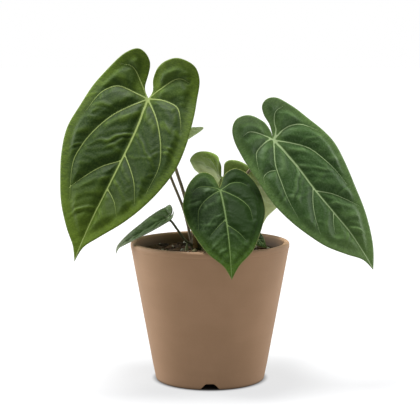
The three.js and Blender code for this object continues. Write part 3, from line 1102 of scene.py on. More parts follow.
LOOSE_PIECES = (
    Chunks("bark", BARK, 5, (1.25, 0.72, 0.3), 4.6, 2.2e5, 5.0, 10.5, tilt=0.35, rise=0.8),
    Chunks("fines", BARK, 4, (1.1, 0.6, 0.5), 1.5, 4.0e5, 1.4, 3.6, tilt=0.6, rise=0.3),
    Chunks("perlite", PERLITE, 3, (1, 0.9, 0.8), 8.0, 1.2e4, 1.8, 3.4, tilt=1.5, rise=1.6),
)


@dataclass
class PottingMix:
    """The mix that fills the pot: a lumpy bed, with bark chips, fines and perlite strewn over it."""

    pot: Pot
    surface: float = 95.6
    gap: float = 0.45
    floor_gap: float = 0.4
    corner: float = 3.6
    shoulder: Flat = (0.1, 1.5)
    crown: float = 1.6
    rings: int = 34
    columns: int = 120
    lumps: float = 1.76
    lump_scale: float = 0.11
    lift: float = 0.4
    bare_rim: Flat = (4.0, 2.0)
    bare_stem: Flat = (4.0, 6.0)
    shade: float = 0.4
    seed: int = 7

    def bed(self) -> bpy.types.Mesh:
        """The lumpy bed that the loose pieces lie on.

        Returns:
            The bed's closed mesh, with how far each of its points may carry loose pieces.
        """
        pot, edge = self.pot, self.pot.inner(self.surface) - self.gap
        floor = pot.floor + self.floor_gap
        across, down = self.shoulder
        profile = [
            (0, floor),
            (pot.inner(pot.floor) - self.corner, floor),
            (pot.inner(floor + self.corner) - self.gap, floor + self.corner),
            (edge - across, self.surface - down),
            *((radius, self.surface) for radius in np.linspace(edge - 1, self.crown, self.rings)),
            (0, self.surface),
        ]
        points, faces = turned(profile, once_round(self.columns))
        top = points[:, 2] >= self.surface
        for i in np.nonzero(top)[0]:
            rise = noise.fractal(Vector(points[i] * self.lump_scale), 0.9, 2.1, 4)
            points[i, 2] += self.lumps * rise + self.lift
        outer, inner = self.bare_rim
        radius = np.hypot(points[:, 0], points[:, 1])
        strewn = np.where(top, 1 - smooth(edge - outer, edge - inner, radius), 0.0)
        away = np.hypot(points[:, 0] - STEM_AXIS[0], points[:, 1] - STEM_AXIS[1])
        strewn *= smooth(*self.bare_stem, away)
        stored = {"strewn": strewn, "shade": np.full(len(points), self.shade)}
        return mesh_of("mix_bed", points, faces, stored)

    @staticmethod
    def strew_tree() -> Growth:
        """The tree that strews loose pieces over the bed.

        Returns:
            A tree with the pieces, their number, their sizes and the seed as named inputs.
        """
        tree = Growth("strew")
        pieces = tree.size("Pieces", "Collection")
        spacing, density = tree.size("Spacing"), tree.size("Density")
        small, large = tree.size("Smallest"), tree.size("Largest")
        tilt, rise = tree.size("Tilt"), tree.size("Rise")
        seed = tree.size("Seed", "Int")
        material = tree.size("Material", "Material")
        inputs = {
            "Mesh": tree.start(),
            "Distance Min": spacing,
            "Density Max": density,
            "Density Factor": tree.read("strewn"),
            "Seed": seed,
        }
        spread = tree.node("GeometryNodeDistributePointsOnFaces", inputs, distribute_method="POISSON")
        inputs = {"Collection": pieces, "Separate Children": True, "Reset Children": True}
        bag = tree.node("GeometryNodeCollectionInfo", inputs)
        inputs = {"Min": (-1.0, -1.0, 0.0), "Max": (1.0, 1.0, 40.0), "Seed": seed}
        lean = tree.node("FunctionNodeRandomValue", inputs, data_type="FLOAT_VECTOR")
        leans = tree.node("ShaderNodeCombineXYZ", {0: tilt, 1: tilt, 2: 1.0})
        angle = tree.node("ShaderNodeVectorMath", {0: lean, 1: leans}, operation="MULTIPLY")
        inputs = {"Min": small, "Max": large, "Seed": seed + 3}
        scale = tree.node("FunctionNodeRandomValue", inputs, 1, data_type="FLOAT")
        inputs = {"Points": spread, "Instance": bag, "Pick Instance": True}
        laid = tree.node("GeometryNodeInstanceOnPoints", inputs | {"Rotation": angle, "Scale": scale})
        up = tree.node("ShaderNodeCombineXYZ", {2: rise})
        inputs = {"Instances": laid, "Translation": up, "Local Space": False}
        laid = tree.node("GeometryNodeTranslateInstances", inputs)
        own = tree.node("FunctionNodeRandomValue", {"Seed": seed + 9}, 1, data_type="FLOAT")
        tree.end(tree.stored(laid, "shade", own, domain="INSTANCE"), material)
        return tree

    def dress(self) -> list[bpy.types.Object]:
        """Build the bed, strew the pieces over it and give each kind its finish.

        Returns:
            The bed and the pieces of each kind.
        """
        tree = self.strew_tree()
        made = [settle(self.bed(), PEAT.material(), "potting_mix", "mix_bed")]
        for chunks in LOOSE_PIECES:
            name, skin = f"mix_{chunks.kind}", chunks.finish.material()
            bag = bpy.data.collections.new(f"{chunks.kind}_bag")
            shapes = [chunks.shape(i) for i in range(chunks.shapes)]
            for shape in shapes:
                bag.objects.link(shape)
            mesh = tree.grow(
                self.bed(),
                name,
                Pieces=bag,
                Spacing=chunks.spacing * MM,
                Density=chunks.density,
                Smallest=chunks.smallest,
                Largest=chunks.largest,
                Tilt=chunks.tilt,
                Rise=chunks.rise * MM,
                Seed=self.seed + len(made),
                Material=skin,
            )
            for data in [shape.data for shape in shapes]:
                bpy.data.meshes.remove(data)
            bpy.data.collections.remove(bag)
            made.append(settle(mesh, skin, "potting_mix", name))
        return made


# Strands


@dataclass
class Strand:
    """A petiole, root or shoot: a tapering round strand along a curve."""

    node: str
    slot: str
    route: Sequence[Sequence[float]]
    girth: Callable[[np.ndarray], np.ndarray]
    finish: StrandFinish
    sides: int = 16
    step: float = 1.1
    unevenness: float = 0.12

    @staticmethod
    def tree() -> Growth:
        """The tree that grows a tube along a line.

        Returns:
            A tree with the tube's sides, its unevenness and its material as named inputs.
        """
        tree = Growth("strand")
        sides = tree.size("Sides", "Int")
        uneven = tree.size("Uneven")
        material = tree.size("Material", "Material")
        line = tree.node("GeometryNodeMeshToCurve", {0: tree.start()})
        ring = tree.node("GeometryNodeCurvePrimitiveCircle", {"Resolution": sides, "Radius": 1.0})
        around = tree.node("GeometryNodeSplineParameter", output="Factor")
        ring = tree.stored(ring, "around", around)
        inputs = {"Curve": line, "Profile Curve": ring, "Scale": tree.read("girth"), "Fill Caps": True}
        tube = tree.node("GeometryNodeCurveToMesh", inputs)
        here = tree.node("GeometryNodeInputPosition")
        ripple = tree.node("ShaderNodeTexNoise", {"Vector": here, "Scale": 420.0, "Detail": 2.0}) - 0.5
        out = tree.node("GeometryNodeInputNormal")
        push = tree.node("ShaderNodeVectorMath", {0: out, "Scale": ripple * uneven}, operation="SCALE")
        tube = tree.node("GeometryNodeSetPosition", {"Geometry": tube, "Offset": push})
        wrap = tree.node("ShaderNodeCombineXYZ", {0: tree.read("run"), 1: tree.read("around") * 9.0})
        tube = tree.stored(tube, "flat", wrap, "FLOAT_VECTOR")
        tube = tree.node("GeometryNodeSetShadeSmooth", {0: tube})
        tree.end(tube, material)
        return tree

    def dress(self, tree: Growth) -> bpy.types.Object:
        """Grow the strand and give it its finish.

        Args:
            tree: The tree that grows a tube along a line.

        Returns:
            The piece.
        """
        line = evenly(spline(self.route), self.step)
        run = travelled(line)
        girth = self.girth(run / run[-1]) * MM
        edges = [[i, i + 1] for i in range(len(line) - 1)]
        base = mesh_of(self.node + "_line", line, [], {"girth": girth, "run": run}, edges)
        skin = self.finish.material()
        uneven = self.unevenness * MM
        mesh = tree.grow(base, self.node, Sides=self.sides, Uneven=uneven, Material=skin)
        return settle(mesh, skin, self.node)


# Leaves


@dataclass(frozen=True)
class Vein:
    """A main vein on the flat blade.

    It has its points, its half width where it starts and ends, and how far its side veins reach compared
    with those of its neighbours.
    """

    points: Line
    wide: float = 0.62
    fine: float = 0.28
    reach: float = 1.0


@dataclass
class Leaf:
    """A leaf: how its flat outline is bent and turned in space, its veins and its petiole.

    The flat blade has u along the midrib, from the insertion to the tip, with the basal lobes at u below
    0, and v across it, with v above 0 to the right of someone who faces the upper side, tip down.

    In degrees, heading, dive and roll turn the blade, droop, curl and lobe_droop bend it down towards
    its tip, at its drip tip and towards its lobes, and fold and rim are its slopes beside the midrib and
    at the margin. The route is the petiole's, and the stalk its radius.

    The relief swells by the quilt and the puff, as on the largest blade. Side veins stand a spacing apart
    at a slant, cross furrows divide the ripples between them into cells, and the ripples of neighbouring
    veins run into each other over the blend.
    """

    name: str
    insertion: Point
    heading: float
    dive: float
    roll: float
    droop: float
    curl: float
    lobe_droop: float
    fold: float
    rim: float
    left: Line
    right: Line
    veins: tuple[Vein, ...]
    finish: VelvetFinish
    route: tuple[Point, ...]
    stalk: float
    stalk_finish: StrandFinish
    young: bool = False
    thickness: float = 0.5
    lattice: float = 1.05
    tip_share: float = 0.14
    quilt: float = 1.55
    puff: float = 2.3
    spacing: float = 8.0
    slant: float = 52.0
    wander: float = 0.42
    cell_share: float = 0.6
    cell_length: float = 1.3
    blend: float = 16.0
    inward_reach: float = 2.6
    lobe_relief: float = 0.65
    collecting_vein: float = 0.055
    vein_fade: float = 0.7

    @property
    def length(self) -> float:
        """Length of the midrib."""
        return self.left[-1][0]

    def axes(self) -> tuple[np.ndarray, np.ndarray, np.ndarray]:
        """Turn the blade's own axes as the leaf is held.

        Returns:
            The directions at the insertion along the midrib, out of the upper side, and across.
        """
        turn, dip, roll = map(math.radians, (self.heading, self.dive, self.roll))
        along = np.array([math.cos(turn) * math.cos(dip), math.sin(turn) * math.cos(dip), -math.sin(dip)])
        level = np.array([math.sin(turn), -math.cos(turn), 0.0])
        out = np.cross(level, along) * math.cos(roll) + level * math.sin(roll)
        return along, out, np.cross(out, along)

    def place(self, flat: np.ndarray, lift: np.ndarray) -> np.ndarray:
        """Bend and turn flat points into place.

        Args:
            flat: The flat points, one row each.
            lift: How far each lies off the blade's middle surface, on the upper side.

        Returns:
            The points in space.
        """
        u, v = flat[:, 0], flat[:, 1]
        lobe = -min(p[0] for p in (*self.left, *self.right))
        half = max(p[1] for p in self.right)
        tip_at = self.length * (1 - self.tip_share)
        rate = np.where(u < 0, math.radians(self.lobe_droop) / lobe, math.radians(self.droop) / self.length)
        turn = rate * np.minimum(u, tip_at)
        tip_rate = math.radians(self.curl) / (self.length - tip_at)
        end = turn + tip_rate * np.maximum(u - tip_at, 0)
        run = np.sin(turn) / rate + (np.sin(end) - np.sin(turn)) / tip_rate
        drop = (1 - np.cos(turn)) / rate + (np.cos(turn) - np.cos(end)) / tip_rate
        fold = math.radians(self.fold)
        fall = (math.radians(self.rim) - fold) / half
        tilt = fold + fall * np.abs(v)
        side = np.sign(v)
        aside = side * (np.sin(tilt) - math.sin(fold)) / fall
        rise = -(np.cos(tilt) - math.cos(fold)) / fall
        lean = np.where(side == 0, 0.0, tilt) * smooth(0.0, 1.5, np.abs(v))
        along, out, across = self.axes()
        up = np.sin(end)[:, None] * along + np.cos(end)[:, None] * out
        return (
            np.array(self.insertion)
            + run[:, None] * along
            - drop[:, None] * out
            + (aside - lift * side * np.sin(lean))[:, None] * across
            + (rise + lift * np.cos(lean))[:, None] * up
        )

    def outline(self) -> np.ndarray:
        """Run the outline through its points.

        Returns:
            The flat outline, once round from the sinus over the right half to the tip and back.
        """
        right = evenly(spline(self.right), self.lattice * 0.85)
        left = evenly(spline(self.left), self.lattice * 0.85)
        return np.vstack([right, left[-2:0:-1]])

    def lines(self) -> list[np.ndarray]:
        """The main veins as flat polylines."""
        return [evenly(spline(vein.points), self.lattice * 0.9) for vein in self.veins]

    @staticmethod
    def nearest(points: np.ndarray, line: np.ndarray) -> tuple[np.ndarray, np.ndarray]:
        """Measure how far points lie from a polyline.

        Args:
            points: The points.
            line: The polyline.

        Returns:
            Each point's distance, and how far along the line its nearest place is.
        """
        start, step = line[:-1], np.diff(line, axis=0)
        size = np.maximum((step**2).sum(1), 1e-12)
        offset = points[:, None, :] - start[None]
        share = np.clip((offset * step[None]).sum(2) / size[None], 0, 1)
        gap = np.linalg.norm(offset - share[..., None] * step[None], axis=2)
        best = gap.argmin(1)
        run = np.concatenate([[0], np.cumsum(np.sqrt(size))])
        rows = np.arange(len(points))
        return gap[rows, best], run[best] + share[rows, best] * np.sqrt(size[best])

    def faces_midrib(self, points: np.ndarray, line: np.ndarray) -> np.ndarray:
        """Which points lie on the same side of a vein as the middle of the midrib.

        Args:
            points: The flat points.
            line: The vein's polyline.

        Returns:
            True for each point on that side.
        """

        def side(spots: np.ndarray) -> np.ndarray:
            """Tell on which side of the vein's nearest stretch spots lie.

            Args:
                spots: The flat points.

            Returns:
                Above 0 on one side and below 0 on the other.
            """
            _, run = self.nearest(spots, line)
            at = np.clip((run / (self.lattice * 0.9)).astype(int), 0, len(line) - 2)
            step, offset = line[at + 1] - line[at], spots - line[at]
            return step[:, 0] * offset[:, 1] - step[:, 1] * offset[:, 0]

        middle = side(np.array([[line[:, 0].max() * 0.6 + 4, 0.0]]))[0]
        return side(points) * middle > 0

    def net(self) -> tuple[np.ndarray, np.ndarray]:
        """Divide the flat blade into triangles that follow its outline and its veins.

        Returns:
            The flat points, and the points of each triangle.
        """
        rim, lines = self.outline(), self.lines()
        step = self.lattice
        low, high = rim.min(0), rim.max(0)
        rows = np.arange(low[1], high[1], step * math.sqrt(3) / 2)
        places = np.arange(low[0], high[0], step)
        grid = np.array([(u + (i % 2) * step / 2, v) for i, v in enumerate(rows) for u in places])
        closed = np.vstack([rim, rim[:1]])
        grid = grid[self._within(grid, rim)]
        grid = grid[self.nearest(grid, closed)[0] > step * 0.55]
        for line in lines:
            grid = grid[self.nearest(grid, line)[0] > step * 0.5]
        points = [rim]
        edges = [(i, (i + 1) % len(rim)) for i in range(len(rim))]
        count = len(rim)
        for line in lines:
            keep = line[self.nearest(line, closed)[0] > 0.3]
            points.append(keep)
            edges += [(count + i, count + i + 1) for i in range(len(keep) - 1)]
            count += len(keep)
        points.append(grid)
        cloud = [Vector(p) for p in np.vstack(points)]
        verts, _, faces, *_ = geometry.delaunay_2d_cdt(cloud, edges, [], 1, 1e-4)
        return np.array([tuple(v) for v in verts]), np.array(faces)

    @staticmethod
    def _within(points: np.ndarray, rim: np.ndarray) -> np.ndarray:
        """Tell the points inside a closed outline from those outside.

        Args:
            points: The flat points.
            rim: The outline.

        Returns:
            True for each point inside.
        """
        inside = np.zeros(len(points), bool)
        for (u0, v0), (u1, v1) in zip(rim, np.roll(rim, -1, axis=0)):
            crosses = (v0 > points[:, 1]) != (v1 > points[:, 1])
            at = u0 + (points[:, 1] - v0) * (u1 - u0) / (v1 - v0 if v1 != v0 else 1e-9)
            inside ^= crosses & (points[:, 0] < at)
        return inside

    def _around(
        self,
        flat: np.ndarray,
        index: int,
        line: np.ndarray,
        pitch: float,
        drift: np.ndarray,
    ) -> tuple[np.ndarray, ...]:
        """Work out what a main vein does to the blade around it.

        Args:
            flat: The flat points.
            index: Which vein it is, with the midrib first.
            line: The vein's polyline.
            pitch: The distance between its side veins.
            drift: How far the side veins wander at each point.

        Returns:
            For each point: the vein's distance; the same, shorter where the vein reaches further; the
            height of the ripples between its side veins; its distance over its half width; and its
            height under the blade.
        """
        vein = self.veins[index]
        gap, run = self.nearest(flat, line)
        share = np.clip(run / travelled(line)[-1], 0, 1)
        half = vein.wide + (vein.fine - vein.wide) * share**0.7
        if index:
            half *= 1 - self.vein_fade * smooth(0.55, 1.0, share)
        phase = (run - gap / math.tan(math.radians(self.slant)) + drift) / pitch
        phase = phase + 0.3 * np.sin(1.7 * phase + index * 2.3)
        wave = np.abs(np.sin(math.pi * phase))
        height = 0.62 + 0.38 * np.sin(np.floor(phase) * 2.4 + index)
        crossing = gap / (self.cell_length * pitch) + 0.37 * np.floor(phase) + drift / pitch
        furrow = np.sqrt(np.abs(np.sin(math.pi * crossing)))
        ripple = (0.2 * wave + 0.8 * wave**2) * height * (1 - self.cell_share * (1 - furrow))
        inward = index > 0 and self.faces_midrib(flat, line)
        reach = gap / vein.reach * np.where(inward, self.inward_reach, 1.0)
        rib = half * 0.9 * np.exp(-((gap / (half * 1.3)) ** 2))
        return gap, reach, ripple, gap / half, rib

    def relief(self, flat: np.ndarray) -> dict[str, np.ndarray]:
        """Work out the blade's relief and what its material reads.

        Args:
            flat: The flat points.

        Returns:
            For each point: swell, the height of the quilting; rib, the height of the veins under the
            blade; vein, the distance from the nearest main vein over its half width; crease, from 0 in a
            side vein's furrow to 1 between two, which the material paints as shade in the furrows; edge, the
            distance from the margin; and toward_tip, from 0 at the insertion to 1 at the tip, along which
            the material paints light near the tip.
        """
        rim = self.outline()
        edge = self.nearest(flat, np.vstack([rim, rim[:1]]))[0]
        size = self.length / LARGEST_BLADE
        pitch = self.spacing * (0.45 + 0.55 * size)
        drift = self.wander * pitch * wandering(flat / (pitch * 1.3), self.length)
        unevenness = 0.72 + 0.6 * wandering(flat / (pitch * 2.2), self.length + 5)
        past_lobe = smooth(-0.15 * self.length, 0.1 * self.length, flat[:, 0])
        flatter = self.lobe_relief + (1 - self.lobe_relief) * past_lobe
        around = [self._around(flat, index, line, pitch, drift) for index, line in enumerate(self.lines())]
        gaps, reaches, ripples, ratios, ribs = (np.array(values) for values in zip(*around))
        order = reaches.argsort(0)
        rows = np.arange(len(flat))
        first, second = reaches[order[0], rows], reaches[order[1], rows]
        near = gaps.min(0)
        blend = 0.5 + 0.5 * smooth(0.0, self.blend * size + 1.0, second - first)
        bulge = blend * ripples[order[0], rows] + (1 - blend) * ripples[order[1], rows]
        collect = self.length * self.collecting_vein
        inner = smooth(collect * 0.7, collect * 1.5, edge)
        gutter = np.exp(-(((edge - collect) / (0.9 * size + 0.3)) ** 2))
        apart = smooth(0.0, 2.6 * size + 0.6, near)
        amount = self.quilt * (0.35 + 0.65 * size) * unevenness * flatter
        swell = amount * apart * (0.18 + 0.82 * inner) * bulge * smooth(0.0, 2.5, edge)
        swell += self.puff * size * smooth(0.0, 7.5 * size, near) * inner
        swell -= 0.15 * size * gutter
        crease = bulge * apart * (1 - 0.25 * gutter)
        return {
            "swell": swell,
            "rib": ribs.max(0) * smooth(0.2, 2.0, edge),
            "vein": np.minimum(ratios.min(0), 12.0),
            "crease": flatter * crease * np.clip(unevenness, 0, 1) + (1 - flatter) * 0.8,
            "edge": edge,
            "toward_tip": np.clip(flat[:, 0] / self.length, 0, 1),
        }

    def build(self) -> bpy.types.Mesh:
        """Build the blade with its two skins and its rounded margin.

        Returns:
            The blade's closed mesh.
        """
        flat, faces = self.net()
        relief = self.relief(flat)
        half = self.thickness / 2 * (0.35 + 0.65 * smooth(0.0, 0.9, relief["edge"]))
        top = self.place(flat, relief["swell"] + half)
        under = self.place(flat, relief["swell"] - half - relief["rib"])
        count = len(flat)
        a, b, c = (flat[faces[:, i]] for i in range(3))
        flipped = ((b - a)[:, 0] * (c - a)[:, 1] - (b - a)[:, 1] * (c - a)[:, 0]) < 0
        faces = np.where(flipped[:, None], faces[:, ::-1], faces)
        along, out, across = self.axes()
        if np.dot(np.cross(along, across), out) < 0:
            faces = faces[:, ::-1]
        sides = [(tri[i], tri[(i + 1) % 3]) for tri in faces.tolist() for i in range(3)]
        shared = set(sides)
        bounds = [(start, end) for start, end in sides if (end, start) not in shared]
        walls = [[end, start, start + count, end + count] for start, end in bounds]
        skins = faces.tolist() + (faces[:, ::-1] + count).tolist()
        both = {key: np.concatenate([relief[key]] * 2) for key in ("vein", "crease", "edge", "toward_tip")}
        both["upper"] = np.concatenate([np.ones(count), np.zeros(count)])
        both["flat"] = np.column_stack([np.vstack([flat, flat]), np.zeros(2 * count)])
        return mesh_of("blade_" + self.name, np.vstack([top, under]), skins + walls, both)

    def petiole(self) -> Strand:
        """Lead the petiole from the stem into the blade's underside at the insertion.

        Returns:
            The petiole.
        """
        _, out, _ = self.axes()
        tip = np.array(self.insertion)
        route = [*self.route, tuple(tip - out * self.stalk * 2.6), tuple(tip - out * 0.15)]

        def girth(share: np.ndarray) -> np.ndarray:
            """Radius along the petiole: a sheathing base and a swollen joint under the blade."""
            knee = 0.32 * np.exp(-(((share - 0.955) / 0.035) ** 2))
            return self.stalk * (1.04 + 0.45 * np.exp(-share * 10) + knee)

        slot = "young_petiole" if self.young else "petiole"
        return Strand("petiole_" + self.name, slot, route, girth, self.stalk_finish)

    def dress(self, tree: Growth) -> list[bpy.types.Object]:
        """Build the leaf's blade and petiole and give them their finishes.

        Args:
            tree: The tree that grows a tube along a line.

        Returns:
            The two pieces.
        """
        blade = settle(self.build(), self.finish.material(), "blade_" + self.name)
        return [blade, self.petiole().dress(tree)]


def usual_veins(length: float, mirror: bool = False) -> tuple[Vein, ...]:
    """The main veins that a blade of this kind has.

    Args:
        length: The blade's length.
        mirror: Whether the right side's veins leave first.

    Returns:
        The midrib, and on each side two veins for the lobe, one that runs down inside the margin and two
        that leave the midrib.
    """
    size = length / 100
    shift = 3.0 if mirror else -3.0
    veins = [Vein(tuple((u * size, 0.0) for u in (0, 25, 50, 75, 100)), 0.35 + 0.5 * size, 0.2, 2.0)]
    for side, late in ((-1, shift), (1, -shift)):
        patterns = (
            ((0, 0), (-7, 5), (-12, 10), (-15, 16), (-14, 23)),
            ((0, 0), (-1.5, 7), (-1, 16), (4, 24), (13, 29)),
            ((0, 0), (9, 10), (20, 19), (34, 24), (50, 24)),
            ((40, 0), (49, 9), (58, 16), (67, 20)),
            ((62, 0), (69, 7), (76, 11)),
        )
        for pattern in patterns:
            points = tuple(((u + late if u else 0) * size, v * side * size) for u, v in pattern)
            veins.append(Vein(points, 0.2 + 0.22 * size, 0.14))
    return tuple(veins)


def from_stem(azimuth: float, radius: float, height: float) -> Point:
    """A point at an azimuth and a distance from the stem's axis."""
    turn = math.radians(azimuth)
    return STEM_AXIS[0] + radius * math.cos(turn), STEM_AXIS[1] + radius * math.sin(turn), height


def stalk_route(azimuth: float, height: float, radius: float, via: Sequence[Point]) -> tuple[Point, ...]:
    """A petiole's way out of the stem, and on through its other points."""
    start = from_stem(azimuth, STEM_RADIUS - 1.6, height - 3)
    return start, from_stem(azimuth, STEM_RADIUS + radius * 1.1, height + 4), *via


